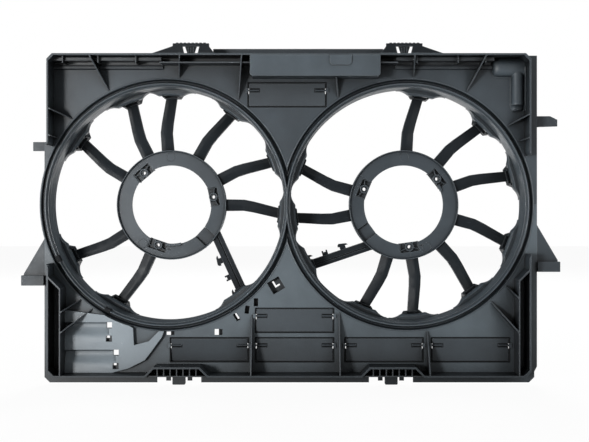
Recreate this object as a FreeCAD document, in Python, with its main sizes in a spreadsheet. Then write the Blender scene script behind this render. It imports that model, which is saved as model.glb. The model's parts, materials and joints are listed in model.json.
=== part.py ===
import FreeCAD, Part
import math
import os

import Sketcher
from FreeCAD import Vector

# Radiator fan shroud.  Millimetres and degrees.  +X to the right and +Z up as seen from
# the radiator, +Y towards the engine.  The origin is the centre of the rim, the face
# that seats on the radiator.

SIZES = {
    # tray: how far the rim stands from the fan rings on each side
    "top_margin": 32.5,
    "bottom_margin": 64.5,
    "left_overhang": 18.0,
    "right_overhang": 11.4,
    "rim_corner": 8.0,
    "wall": 2.5,
    "plenum_depth": 35.0,
    "panel": 2.5,
    "flange_left": 12.0,
    "flange_right": 16.5,
    "flange_bottom": 13.0,
    "flange_top": 2.0,
    "flange_step": 94.0,
    "crest_left": 110.7,
    "crest_right": 144.3,
    "crest_rise": 12.0,
    # fan rings
    "barrel": 176.0,
    "waist": 9.4,
    "ring_width": 13.0,
    "ring_lip": 3.0,
    "ring_proud": 4.0,
    "ring_step": 10.0,
    "ring_gap": 3.0,
    "barrel_bead": 2.0,
    "barrel_length": 39.0,
    "skin": 2.5,
    "chamfer": 1.0,
    # motor rings and their screw bosses
    "motor_outer": 85.0,
    "motor_bore": 61.5,
    "motor_set_back": 18.0,
    "motor_depth": 14.0,
    "boss_circle": 132.0,
    "boss_radius": 6.5,
    "screw_radius": 2.6,
    "boss_sink": 1.5,
    "pocket_length": 30.0,
    "pocket_width": 15.0,
    "pocket_depth": 6.0,
    "left_boss_turn": 11.0,
    "right_boss_turn": 38.0,
    "left_recess_turn": -43.0,
    "right_recess_turn": 216.0,
    "recess_width": 22.0,
    "lead_slot_length": 16.0,
    "lead_slot_width": 2.4,
    "lead_slot_turn": 262.0,
    # stator arms
    "arm_root": 18.5,
    "arm_tip": 15.5,
    "arm_sweep": 4.7,
    "arm_straight": 30.0,
    "arm_ridge": 3.0,
    "foot_base": 40.0,
    "foot_top": 25.0,
    "foot_reach": 10.0,
    # cable arms
    "left_cable_turn": -65.3,
    "right_cable_turn": 198.6,
    "cable_offset": 43.0,
    "cable_width": 15.0,
    "cable_groove": 2.0,
    "clip_start": 19.0,
    "clip_reach": 10.0,
    "clip_wall": 2.5,
    "clip_pitch": 29.0,
    "clip_length": 14.0,
    # ram air flaps and their windows
    "window_width": 116.0,
    "window_height": 35.0,
    "window_clear": 2.7,
    "row_gap": 11.0,
    "row_bar": 9.0,
    "post_left": 11.6,
    "post_middle": 18.1,
    "post_right": 13.7,
    "flap_gap": 1.0,
    "flap": 1.6,
    "flap_inset": 0.4,
    "hinge_drop": 0.31,
    "pin_radius": 1.5,
    "pin_clearance": 0.1,
    "pin_length": 15.0,
    "pin_slot": 0.5,
    "socket_length": 4.0,
    "socket_radius": 3.2,
    "flap_ajar": 8.0,
    "seal": 1.0,
    "seal_lap": 1.5,
    "seal_gap": 0.2,
    "seal_drop": 2.0,
    "seal_rim": 3.0,
    "stop": 1.0,
    "stop_gap": 0.3,
    "stop_reach": 2.5,
    # cover box on the top wall
    "cover_left": 53.7,
    "cover_right": 137.3,
    "cover_gap": 6.2,
    "cover_corner": 3.0,
    "pad_left": 63.3,
    "pad_width": 32.0,
    "pad_height": 14.5,
    "pad_proud": 2.0,
    # top latches
    "left_latch_offset": 40.4,
    "right_latch_offset": -8.4,
    "latch_width": 53.0,
    "latch_rise": 14.3,
    "latch_depth": 6.0,
    "shoulder_long": 30.0,
    "shoulder_short": 8.0,
    "grip_height": 4.0,
    "grip_pitch": 5.7,
    "grip_tooth": 3.7,
    "tongue_top": 17.0,
    "tongue_bottom": 11.0,
    "tongue_height": 9.6,
    "tongue": 1.8,
    "tongue_ridge": 1.2,
    "tongue_gap": 0.6,
    "tongue_slot": 4.0,
    # bottom hooks and the arches of the bottom wall over them
    "left_hook_offset": 19.0,
    "right_hook_offset": -24.8,
    "hook_width": 19.0,
    "hook_drop": 15.5,
    "hook_thick": 8.0,
    "guide_width": 7.0,
    "guide_gap": 3.0,
    "notch_width": 66.0,
    "arch_rise": 12.5,
    # side tabs and brackets
    "tab_rise": 116.5,
    "tab_height": 16.2,
    "tab_reach": 30.5,
    "small_tab_rise": 80.5,
    "small_tab_height": 13.4,
    "small_tab_reach": 17.0,
    "left_bracket_drop": 51.0,
    "right_bracket_drop": 30.5,
    "bracket_height": 52.5,
    "bracket_reach": 31.0,
    "bracket_foot": 15.0,
    "bracket_foot_depth": 10.5,
    # ribs
    "rib": 1.6,
    "rib_gap": 2.5,
    "rib_nose": 1.5,
    "channel_left": 16.0,
    "channel_right": 14.0,
    "channel_gap": 9.0,
    # wiring tray in the lower left corner
    "tray_height": 7.0,
    "tray_rise": 93.5,
    "tray_gap": 8.0,
    "trough_drop": 18.0,
    "trough_pitch": 41.0,
    "trough_width": 20.0,
    "trough_depth": 6.0,
    "trough_length": 66.0,
    "trough_extra": 10.0,
    "trough_hole": 9.0,
    # ledges below the top wall and the rounded duct in the top right corner
    "rail_drop": 10.0,
    "rail_height": 7.0,
    "rail_proud": 4.0,
    "rail_end": 5.0,
    "rail_groove": 1.5,
    "bar_height": 4.5,
    "bar_proud": 20.0,
    "strap": 1.0,
    "stud_proud": 26.0,
    "trench": 9.0,
    "trench_proud": 28.0,
    "trench_right": 25.0,
    "duct_length": 49.0,
    "duct_height": 28.0,
    "duct_proud": 10.0,
    "duct_drop": 79.0,
    "duct_width": 18.0,
    "mouth": 8.0,
    # ribs that close the arches over the hooks
    "arch_rib_pitch": 9.5,
    "arch_rib_depth": 30.0,
    # clip slots in the panel
    "slot_length": 12.0,
    "slot_width": 9.0,
    "nest_size": 20.0,
    "nest_depth": 14.0,
    "nest_offset": 16.5,
    "nest_drop": 121.0,
    "nest_turn": 31.0,
    "nest_slot": 2.6,
    "slit_length": 12.0,
    "slit_width": 6.5,
}


class Size:
    """A number together with the sheet expression that gives it."""

    def __init__(self, number, text):
        self.number = float(number)
        self.text = text

    def __float__(self):
        return self.number

    def __neg__(self):
        return Size(-self.number, f"(-{self.text})")

    def __add__(self, other):
        other = size_of(other)
        return Size(self.number + other.number, f"({self.text} + {other.text})")

    def __radd__(self, other):
        return size_of(other) + self

    def __sub__(self, other):
        other = size_of(other)
        return Size(self.number - other.number, f"({self.text} - {other.text})")

    def __rsub__(self, other):
        return size_of(other) - self

    def __mul__(self, other):
        other = size_of(other)
        return Size(self.number * other.number, f"({self.text} * {other.text})")

    def __rmul__(self, other):
        return size_of(other) * self

    def __truediv__(self, other):
        other = size_of(other)
        return Size(self.number / other.number, f"({self.text} / {other.text})")


def size_of(value):
    """Any number as a Size."""
    if isinstance(value, Size):
        return value
    return Size(value, f"({float(value)!r})")


def cosine(angle):
    angle = size_of(angle)
    return Size(math.cos(math.radians(angle.number)), f"cos({angle.text})")


def sine(angle):
    angle = size_of(angle)
    return Size(math.sin(math.radians(angle.number)), f"sin({angle.text})")


def tangent(angle):
    angle = size_of(angle)
    return Size(math.tan(math.radians(angle.number)), f"tan({angle.text})")


def root(value):
    value = size_of(value)
    return Size(math.sqrt(value.number), f"sqrt({value.text})")


def heading(run, rise):
    """The angle of a direction, anticlockwise from +X."""
    run, rise = size_of(run), size_of(rise)
    angle = math.degrees(math.atan2(rise.number, run.number))
    return Size(angle, f"atan2({rise.text}; {run.text})")


class Sheet:
    """The driving dimensions, each an attribute and an aliased cell."""

    def __init__(self, document, sizes):
        self.table = document.addObject("Spreadsheet::Sheet", "sheet")
        for row, (alias, number) in enumerate(sizes.items(), start=1):
            self.table.set(f"A{row}", alias)
            self.table.set(f"B{row}", str(number))
            self.table.setAlias(f"B{row}", alias)
        document.recompute()
        for alias in sizes:
            setattr(self, alias, Size(self.table.get(alias), f"sheet.{alias}"))


DOC = FreeCAD.newDocument("fan_shroud")
S = Sheet(DOC, SIZES)
NODES = []

# ---------------------------------------------------------------- drawing helpers


def bind(thing, **sizes):
    """Tie properties of an object to the sheet."""
    for name, value in sizes.items():
        thing.setExpression(name, size_of(value).text)
    return thing


def place(thing, east=0.0, back=0.0, up=0.0, turn=0.0, axis=(0, -1, 0)):
    """Set a Placement by expression; turn is anticlockwise as seen from the front."""
    east, back, up, turn = [size_of(value).text for value in (east, back, up, turn)]
    spin = f"create(<<rotation>>; create(<<vector>>; {axis[0]}; {axis[1]}; {axis[2]}); {turn})"
    spot = f"create(<<vector>>; {east}; {back}; {up})"
    thing.setExpression("Placement", f"create(<<placement>>; {spot}; {spin})")
    return thing


def new_body(name):
    made = DOC.addObject("PartDesign::Body", name)
    made.Label = name
    return made


def origin_part(body, role):
    return next(part for part in body.Origin.OriginFeatures if part.Role == role)


def new_sketch(body, name, plane="XZ_Plane", level=0.0):
    """A sketch on one of the body's own planes; level moves it along +X, +Y or +Z."""
    made = body.newObject("Sketcher::SketchObject", f"{body.Name}_{name}")
    made.AttachmentSupport = [(origin_part(body, plane), "")]
    made.MapMode = "FlatFace"
    level = size_of(level)
    bind(made, **{"AttachmentOffset.Base.z": -level if plane == "XZ_Plane" else level})
    return made


def fix_point(sketch, index, end, east, up):
    """Bind one point of the sketch to its two coordinates."""
    for kind, value in (("DistanceX", east), ("DistanceY", up)):
        value = size_of(value)
        made = sketch.addConstraint(
            Sketcher.Constraint(kind, -1, 1, index, end, value.number))
        sketch.setExpression(f"Constraints[{made}]", value.text)


def polygon(sketch, corners):
    """A closed outline with sharp corners, each corner a pair of sizes."""
    corners = [(size_of(east), size_of(up)) for east, up in corners]
    spots = [Vector(float(east), float(up), 0) for east, up in corners]
    first = sketch.GeometryCount
    count = len(spots)
    for step in range(count):
        line = Part.LineSegment(spots[step], spots[(step + 1) % count])
        sketch.addGeometry(line, False)
    for step in range(count):
        following = first + (step + 1) % count
        sketch.addConstraint(Sketcher.Constraint("Coincident", first + step, 2, following, 1))
    for step, (east, up) in enumerate(corners):
        fix_point(sketch, first + step, 1, east, up)


def rectangle(sketch, west, east, low, high):
    polygon(sketch, [(west, low), (east, low), (east, high), (west, high)])


def circle(sketch, east, up, radius):
    east, up, radius = size_of(east), size_of(up), size_of(radius)
    spot = Vector(float(east), float(up), 0)
    index = sketch.addGeometry(
        Part.Circle(spot, Vector(0, 0, 1), float(radius)), False)
    fix_point(sketch, index, 3, east, up)
    made = sketch.addConstraint(Sketcher.Constraint("Radius", index, float(radius)))
    sketch.setExpression(f"Constraints[{made}]", radius.text)


def pad(body, sketch, length, backwards=True):
    """Add material; from a front plane it grows towards the engine."""
    made = body.newObject("PartDesign::Pad", f"{sketch.Name}_pad")
    made.Profile = sketch
    made.Reversed = backwards
    bind(made, Length=length)
    return made


def pocket(body, sketch, length=None, backwards=True):
    """Cut material away; with no length the cut goes right through."""
    made = body.newObject("PartDesign::Pocket", f"{sketch.Name}_cut")
    made.Profile = sketch
    made.Reversed = not backwards
    if length is None:
        made.Type = "ThroughAll"
    else:
        bind(made, Length=length)
    return made


def turn_about(body, sketch, kind="PartDesign::Revolution"):
    """Revolve a profile about the body's own Y axis."""
    made = body.newObject(kind, f"{sketch.Name}_turn")
    made.Profile = sketch
    made.ReferenceAxis = (origin_part(body, "Y_Axis"), [""])
    made.Angle = 360
    return made


def repeat_round(body, features, count):
    """Copy features round the body's own Y axis."""
    made = body.newObject("PartDesign::PolarPattern", f"{features[0].Name}_round")
    made.Originals = features
    made.Axis = (origin_part(body, "Y_Axis"), [""])
    made.Angle = 360
    made.Occurrences = count
    body.Tip = made
    return made


def plate(name, corners, front, thickness, **where):
    """A flat piece drawn from the front."""
    made = new_body(name)
    sketch = new_sketch(made, "outline", level=front)
    polygon(sketch, corners)
    pad(made, sketch, thickness)
    return place(made, **where) if where else made


def boolean(kind, name, base, tool):
    made = DOC.addObject(f"Part::{kind}", name)
    made.Label = name
    made.Base = base
    made.Tool = tool
    return made


def fuse(name, shapes):
    made = DOC.addObject("Part::MultiFuse", name)
    made.Label = name
    made.Shapes = shapes
    made.Refine = True
    return made


def block(name, west, east, front, back, low, high):
    """A box between six planes."""
    made = DOC.addObject("Part::Box", name)
    west, front, low = size_of(west), size_of(front), size_of(low)
    bind(made, Length=east - west, Width=back - front, Height=high - low)
    return place(made, west, front, low)


def keep(thing):
    """Count a finished object as one piece of the shroud."""
    NODES.append(thing)
    return thing


# ---------------------------------------------------------------- shared places

ring_outer = S.barrel + S.ring_width
lip_inner = ring_outer - S.ring_lip
barrel_skin = S.barrel + S.skin
fan_pitch = S.barrel * 2 + S.waist
half_width = (fan_pitch + ring_outer * 2 - S.left_overhang - S.right_overhang) / 2
half_height = ring_outer + (S.top_margin + S.bottom_margin) / 2
fan_middle = (S.right_overhang - S.left_overhang) / 2
fan_height = (S.bottom_margin - S.top_margin) / 2
left_fan = fan_middle - fan_pitch / 2
right_fan = fan_middle + fan_pitch / 2
FANS = {"left": left_fan, "right": right_fan}

panel_front = S.plenum_depth
panel_back = panel_front + S.panel
step_front = panel_front + S.ring_step
barrel_back = panel_front + S.barrel_length
motor_front = barrel_back + S.motor_set_back
arm_front = motor_front + S.wall / 5
arm_back = motor_front + S.motor_depth

west_edge = -half_width - S.flange_left
east_edge = half_width + S.flange_right
low_edge = -half_height - S.flange_bottom
top_edge = half_height + S.flange_top
inside_top = half_height - S.wall
inside_side = half_width - S.wall

hook_places = {"left": left_fan + S.left_hook_offset, "right": right_fan + S.right_hook_offset}
latch_places = {"left": left_fan + S.left_latch_offset,
                "right": right_fan + S.right_latch_offset}


def beside_ring(away):
    """How far across a ring's clear circle reaches at a distance from its centre."""
    clear = ring_outer + S.window_clear
    return root(clear * clear - away * away)


half_window = S.window_width / 2
tall_window = S.window_height / 2
lower_row = fan_height - ring_outer - S.row_gap - tall_window
upper_row = lower_row + S.window_height + S.row_bar
corner_drop = fan_height - upper_row - tall_window
centre_column = right_fan - beside_ring(corner_drop) - half_window
column_step = S.window_width + S.post_middle
TOP_WINDOW = (fan_middle,
              fan_height + beside_ring(fan_pitch / 2 - half_window) + tall_window)
LOWER_WINDOWS = {
    "lower_left": (centre_column - S.window_width - S.post_left, lower_row),
    "centre_upper": (centre_column, upper_row),
    "centre_lower": (centre_column, lower_row),
    "right_inner": (centre_column + column_step, lower_row),
    "right_outer": (centre_column + column_step + S.window_width + S.post_right, lower_row),
}
WINDOWS = {"top_centre": TOP_WINDOW, **LOWER_WINDOWS}

hinge_below_top = S.window_height * S.hinge_drop
hinge_depth = panel_front + S.flap_inset + S.flap / 2


def hinge_height(window_up):
    return window_up + tall_window - hinge_below_top


# ---------------------------------------------------------------- panels and walls


def cut_fans(body, radius, level):
    """Round openings for both fan rings."""
    for side, east in FANS.items():
        sketch = new_sketch(body, f"{side}_opening", level=level)
        circle(sketch, east, fan_height, radius)
        pocket(body, sketch)


def cut_windows(body, windows):
    sketch = new_sketch(body, "windows", level=panel_front)
    for east, up in windows:
        rectangle(sketch, east - half_window, east + half_window,
                  up - tall_window, up + tall_window)
    pocket(body, sketch)


def add_sockets(body, windows):
    """Hinge sockets: small blocks at both sides of each window, bored for the pins."""
    sketch = new_sketch(body, "sockets", level=hinge_depth - S.socket_radius)
    for east, up in windows:
        height = hinge_height(up)
        for inner in (east - half_window - S.socket_length, east + half_window):
            rectangle(sketch, inner, inner + S.socket_length,
                      height - S.socket_radius, height + S.socket_radius)
    pad(body, sketch, S.socket_radius * 2)
    reach = S.window_width + 2 * S.socket_length
    for index, (east, up) in enumerate(windows):
        bore = new_sketch(body, f"bore_{index}", plane="YZ_Plane",
                          level=east - half_window - S.socket_length)
        circle(bore, hinge_depth, hinge_height(up), S.pin_radius + S.pin_clearance)
        pocket(body, bore, reach, backwards=False)


def add_stops(body, windows):
    """Ledge behind the top of each window, against which the flap's upper edge closes."""
    level = panel_front + S.flap_inset + S.flap + S.stop_gap
    sketch = new_sketch(body, "stops", level=level)
    wide, near = half_window + S.stop, half_window - S.stop_reach
    for east, up in windows:
        low = hinge_height(up) + S.socket_radius - S.stop / 2
        high = up + tall_window + S.stop
        under = high - S.stop - S.stop_reach
        polygon(sketch, [
            (east - wide, low), (east - wide, high), (east + wide, high), (east + wide, low),
            (east + near, low), (east + near, under), (east - near, under),
            (east - near, low)])
    pad(body, sketch, panel_back + S.stop - level)


def upper_panel():
    body = new_body("upper_panel")
    sketch = new_sketch(body, "outline", level=panel_front)
    step = -half_width - S.flange_top
    step_up = fan_height + S.flange_step
    crest = half_height + S.crest_rise
    west, east = fan_middle - S.crest_left, fan_middle + S.crest_right
    polygon(sketch, [
        (west_edge, fan_height), (west_edge, step_up), (step, step_up), (step, top_edge),
        (west, top_edge), (west, crest), (east, crest), (east, top_edge),
        (east_edge, top_edge), (east_edge, fan_height)])
    pad(body, sketch, S.panel)
    cut_fans(body, ring_outer, panel_front)
    cut_windows(body, [TOP_WINDOW])
    add_sockets(body, [TOP_WINDOW])
    add_stops(body, [TOP_WINDOW])
    return keep(body)


def notch_corners(place_east):
    """The notch over a hook, open at the bottom edge."""
    half = S.notch_width / 2
    blunt = S.wall
    high = -half_height
    return [(place_east - half, low_edge), (place_east - half, high - blunt),
            (place_east - half + blunt, high), (place_east + half - blunt, high),
            (place_east + half, high - blunt), (place_east + half, low_edge)]


def cut_clip_slots(body):
    """Through slots where wiring clips snap into the lower panel."""
    slots = new_sketch(body, "clip_slots", level=panel_front)
    row = lower_row + tall_window + S.row_bar
    for east in (left_fan, left_fan + S.slot_length * 6):
        rectangle(slots, east, east + S.slot_length, row - S.slot_width / 2,
                  row + S.slot_width / 2)
    pocket(body, slots)


def deep_nests(body):
    """Boxes behind the panel for wiring clips: one square, three slim ones at the ring."""
    side = S.nest_size / 2
    slim, tall = S.slit_width / 2, S.slit_length / 2
    clear = ring_outer + tall + S.skin + S.chamfer
    places = [(fan_middle - S.nest_offset, fan_height - S.nest_drop, S.nest_turn, side, side)]
    for turn, tilt in ((-47.5, 0.0), (-52.5, -8.0), (-58.0, 32.0)):
        places.append((left_fan + clear * cosine(turn), fan_height + clear * sine(turn), tilt,
                       slim, tall))
    boxes = new_sketch(body, "nest_boxes", level=panel_front)
    hollows = new_sketch(body, "nest_hollows", level=panel_front)
    for east, up, tilt, wide, high in places:
        for sketch, grow in ((boxes, S.skin / 2), (hollows, size_of(0.0))):
            across, along = wide + grow, high + grow
            polygon(sketch, turned(east, up, tilt, [
                (-across, -along), (across, -along), (across, along), (-across, along)]))
    pad(body, boxes, S.nest_depth)
    pocket(body, hollows, S.nest_depth - S.skin / 2)
    slots = new_sketch(body, "nest_slots", level=panel_front)
    east, up, tilt, wide, high = places[0]
    thin = S.nest_slot
    polygon(slots, turned(east, up, tilt, [
        (-wide / 3, -high / 3), (wide / 2, -high / 3), (wide / 2, thin - high / 3),
        (thin - wide / 3, thin - high / 3), (thin - wide / 3, high * 0.7),
        (-wide / 3, high * 0.7)]))
    east, up, tilt, wide, high = places[-1]
    polygon(slots, turned(east, up, tilt, [
        (-thin / 2, -high * 0.8), (thin / 2, -high * 0.8), (thin / 2, high * 0.8),
        (-thin / 2, high * 0.8)]))
    pocket(body, slots)


def turned(east, up, angle, corners):
    """Corners turned about a place in the front view."""
    return [(east + along * cosine(angle) - across * sine(angle),
             up + along * sine(angle) + across * cosine(angle))
            for along, across in corners]


def lower_panel():
    body = new_body("lower_panel")
    sketch = new_sketch(body, "outline", level=panel_front)
    corner = S.rim_corner
    polygon(sketch, [
        (west_edge, fan_height), (east_edge, fan_height),
        (east_edge, low_edge + 3 * corner), (east_edge - corner / 2, low_edge + 2 * corner),
        (east_edge - corner / 2, low_edge + corner), (east_edge - 1.5 * corner, low_edge),
        *reversed(notch_corners(hook_places["right"])),
        *reversed(notch_corners(hook_places["left"])),
        (west_edge + corner, low_edge), (west_edge, low_edge + corner)])
    pad(body, sketch, S.panel)
    cut_fans(body, ring_outer, panel_front)
    cut_windows(body, LOWER_WINDOWS.values())
    add_sockets(body, list(LOWER_WINDOWS.values()))
    add_stops(body, list(LOWER_WINDOWS.values()))
    cut_clip_slots(body)
    deep_nests(body)
    cut_trough_holes(body, panel_front, 0.5)
    return keep(body)


def arch_corners(place_east, inset):
    """The bottom wall's detour over a hook, moved inwards by the wall for its inner face."""
    base = -half_height + inset
    half = S.notch_width / 2
    rise = S.arch_rise
    lean = inset * tangent(22.5)
    return [(place_east - half - rise - lean, base), (place_east - half - lean, base + rise),
            (place_east + half + lean, base + rise), (place_east + half + rise + lean, base)]


def rim_frame(name):
    """The whole standing wall, from which one wall is taken."""
    body = new_body(name)
    sketch = new_sketch(body, "outline")
    corner = S.rim_corner
    for inset in (size_of(0.0), S.wall):
        wide, tall = half_width - inset, half_height - inset
        polygon(sketch, [
            (-wide + corner, -tall), *arch_corners(hook_places["left"], inset),
            *arch_corners(hook_places["right"], inset),
            (wide - corner, -tall), (wide, -tall + corner),
            (wide, tall - corner), (wide - corner, tall), (-wide + corner, tall),
            (-wide, tall - corner), (-wide, -tall + corner)])
    pad(body, sketch, panel_front)
    cut_fans(body, ring_outer + S.ring_gap, 0.0)
    return body


def walls():
    """Top, bottom and four side walls, cut from one frame so that they meet."""
    split = half_height - S.rim_corner - S.wall
    low_split = -half_height + S.arch_rise + 2 * S.wall
    far, tall = half_width + S.wall, half_height + S.wall
    bounds = {
        "top_wall": (-far, far, split, tall),
        "bottom_wall": (-far, far, -tall, low_split),
        "left_wall_upper": (-far, 0.0, fan_height, split),
        "left_wall_lower": (-far, 0.0, low_split, fan_height),
        "right_wall_upper": (0.0, far, fan_height, split),
        "right_wall_lower": (0.0, far, low_split, fan_height),
    }
    for name, (west, east, low, high) in bounds.items():
        frame = rim_frame(f"{name}_frame")
        tool = block(f"{name}_bounds", west, east, 0.0, panel_front, low, high)
        bounds[name] = keep(boolean("Common", name, frame, tool))
    return bounds


# ---------------------------------------------------------------- fan rings


def fan_ring(side):
    """Raised lip, step and barrel, turned in one profile and cut at the middle."""
    body = new_body(f"{side}_ring_turned")
    profile = new_sketch(body, "profile", plane="XY_Plane")
    lip_front = panel_front - S.ring_proud
    step_back = step_front + S.skin
    bead = step_front - S.barrel_bead
    polygon(profile, [
        (lip_inner, lip_front), (ring_outer, lip_front), (ring_outer, step_back),
        (barrel_skin, step_back), (barrel_skin, barrel_back), (S.barrel, barrel_back),
        (S.barrel, bead), (barrel_skin, bead), (barrel_skin, step_front),
        (lip_inner, step_front)])
    turn_about(body, profile)
    place(body, FANS[side], 0.0, fan_height)
    reach = ring_outer + S.wall
    if side == "left":
        west, east = left_fan - reach, fan_middle
    else:
        west, east = fan_middle, right_fan + reach
    tool = block(f"{side}_ring_bounds", west, east, 0.0, arm_back,
                 fan_height - reach, fan_height + reach)
    keep(boolean("Common", f"{side}_fan_ring", body, tool))


# ---------------------------------------------------------------- motor rings


def motor_ring(side, boss_turn, recess_turn):
    """Channel ring with three screw bosses, each sunk in a pocket between ribs."""
    body = new_body(f"{side}_motor_ring")
    profile = new_sketch(body, "profile", plane="XY_Plane")
    outer, bore, skin = S.motor_outer, S.motor_bore, S.skin
    front, back = motor_front, arm_back
    rim = skin / 2
    polygon(profile, [
        (bore, front), (outer - rim, front), (outer - rim, front - rim), (outer, front - rim),
        (outer, back), (outer - skin, back), (outer - skin, front + skin),
        (bore, front + skin)])
    turn_about(body, profile)

    middle = S.boss_circle / 2
    half = S.pocket_length / 2
    inner_edge = bore - skin
    window = new_sketch(body, "pocket", level=front)
    rectangle(window, inner_edge, inner_edge + S.pocket_width, -half, half)
    cut = pocket(body, window)
    repeat_round(body, [cut], 3)

    tray = new_sketch(body, "tray", level=front + S.pocket_depth)
    rectangle(tray, inner_edge, inner_edge + S.pocket_width + skin, -half, half)
    floor = pad(body, tray, skin)
    boss = new_sketch(body, "boss", level=front + S.boss_sink)
    circle(boss, middle, 0.0, S.boss_radius)
    post = pad(body, boss, S.motor_depth - S.boss_sink)
    ribs = new_sketch(body, "rib", level=front + S.boss_sink)
    for low in (-half, half - S.rib):
        rectangle(ribs, inner_edge, inner_edge + S.pocket_width + skin, low, low + S.rib)
    ends = pad(body, ribs, S.motor_depth - S.boss_sink)
    repeat_round(body, [floor, post, ends], 3)

    hole = new_sketch(body, "screw", level=front)
    circle(hole, middle, 0.0, S.screw_radius)
    drill = pocket(body, hole)
    repeat_round(body, [drill], 3)

    across = S.recess_width / 2
    block_in, block_out = bore - S.chamfer, outer - skin
    for part, wide, out, inner in (("recess_block", across + skin, block_out, block_in),
                                   ("cable_recess", across, outer + skin, inner_edge)):
        recess = new_sketch(body, part, level=front - rim if part == "cable_recess" else front)
        polygon(recess, turned(0.0, 0.0, recess_turn - boss_turn, [
            (inner, -wide), (out, -wide), (out, wide), (inner, wide)]))
        if part == "recess_block":
            pad(body, recess, S.pocket_depth + skin)
        else:
            pocket(body, recess, S.pocket_depth + rim)
    slot = new_sketch(body, "lead_slot", level=front)
    slot_in = middle + S.lead_slot_width
    long, thin = S.lead_slot_length / 2, S.lead_slot_width / 2
    polygon(slot, turned(0.0, 0.0, S.lead_slot_turn - S.left_boss_turn, [
        (slot_in - thin, -long), (slot_in + thin, -long), (slot_in + thin, long),
        (slot_in - thin, long)]))
    pocket(body, slot, skin / 2)
    place(body, FANS[side], 0.0, fan_height, boss_turn)
    keep(body)


# ---------------------------------------------------------------- stator arms


def arm_sections():
    """Distance out, sideways offset and width of the sections along an arm."""
    lean = tangent(S.arm_sweep)
    start = S.motor_outer - S.skin
    end = barrel_skin + S.skin
    knee = start + S.arm_straight
    bend = knee + S.arm_straight / 2
    knee_side = knee * lean
    slope = knee_side / (S.barrel - knee)
    narrowing = (S.arm_root - S.arm_tip) / (end - start)
    for out, drop in ((start, 0.0), (knee, 0.0), (bend, 0.7), (end, 1.0)):
        sideways = out * lean if drop == 0.0 else knee_side - (out - knee) * slope * drop
        yield out, sideways, S.arm_root - (out - start) * narrowing


def arm_loft(body, name, kind, inset, front, back):
    """Loft a roof-shaped section from the motor ring to the barrel."""
    sections = []
    for index, (out, sideways, width) in enumerate(arm_sections()):
        sketch = new_sketch(body, f"{name}_{index}", plane="YZ_Plane", level=out)
        half = width / 2 - inset
        polygon(sketch, [
            (back, sideways - half), (front + S.arm_ridge, sideways - half),
            (front, sideways + half / 4), (front + S.chamfer / 2, sideways + half),
            (back, sideways + half)])
        sections.append(sketch)
    made = body.newObject(kind, f"{body.Name}_{name}")
    made.Profile = sections[0]
    made.Sections = sections[1:]
    made.Ruled = True
    return made


def trim_to_rings(body):
    """Cut an arm to the motor ring's outside and to the barrel's outside."""
    sketch = new_sketch(body, "trim", level=0.0)
    circle(sketch, 0.0, 0.0, S.motor_outer)
    circle(sketch, 0.0, 0.0, barrel_skin)
    circle(sketch, 0.0, 0.0, ring_outer * 2)
    return pocket(body, sketch)


def stator_arm(name, side, turn):
    """One swept arm with its gusseted foot on the back edge of the barrel."""
    body = new_body(name)
    arm_loft(body, "arm", "PartDesign::AdditiveLoft", size_of(0.0), arm_front, arm_back)
    arm_loft(body, "hollow", "PartDesign::SubtractiveLoft", S.skin, arm_front + S.skin,
             arm_back + S.skin)
    foot = new_sketch(body, "foot", level=barrel_back)
    inner = S.barrel - S.foot_reach
    outer = barrel_skin + S.skin
    top, base = S.foot_top / 2, S.foot_base / 2
    polygon(foot, [(inner, -top), (S.barrel, -base), (outer, -base), (outer, base),
                   (S.barrel, base), (inner, top)])
    pad(body, foot, arm_back - barrel_back)
    socket = new_sketch(body, "socket", level=barrel_back)
    half = top - S.skin
    rectangle(socket, inner - S.skin, S.barrel - S.skin, -half, half)
    pocket(body, socket, S.motor_set_back - S.skin)
    trim_to_rings(body)
    place(body, FANS[side], 0.0, fan_height, turn)
    keep(body)


LEFT_ARMS = (144.9, 111.4, 89.7, 56.2, 22.9, -4.9, 241.6, 207.2)
RIGHT_ARMS = (159.8, 81.7, 45.1, 15.0, -20.2, -52.1, -85.4, 248.2, 186.4)


def stator_arms():
    for side, turns in (("left", LEFT_ARMS), ("right", RIGHT_ARMS)):
        for number, turn in enumerate(turns, start=1):
            stator_arm(f"{side}_arm_{number}", side, turn)


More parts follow.
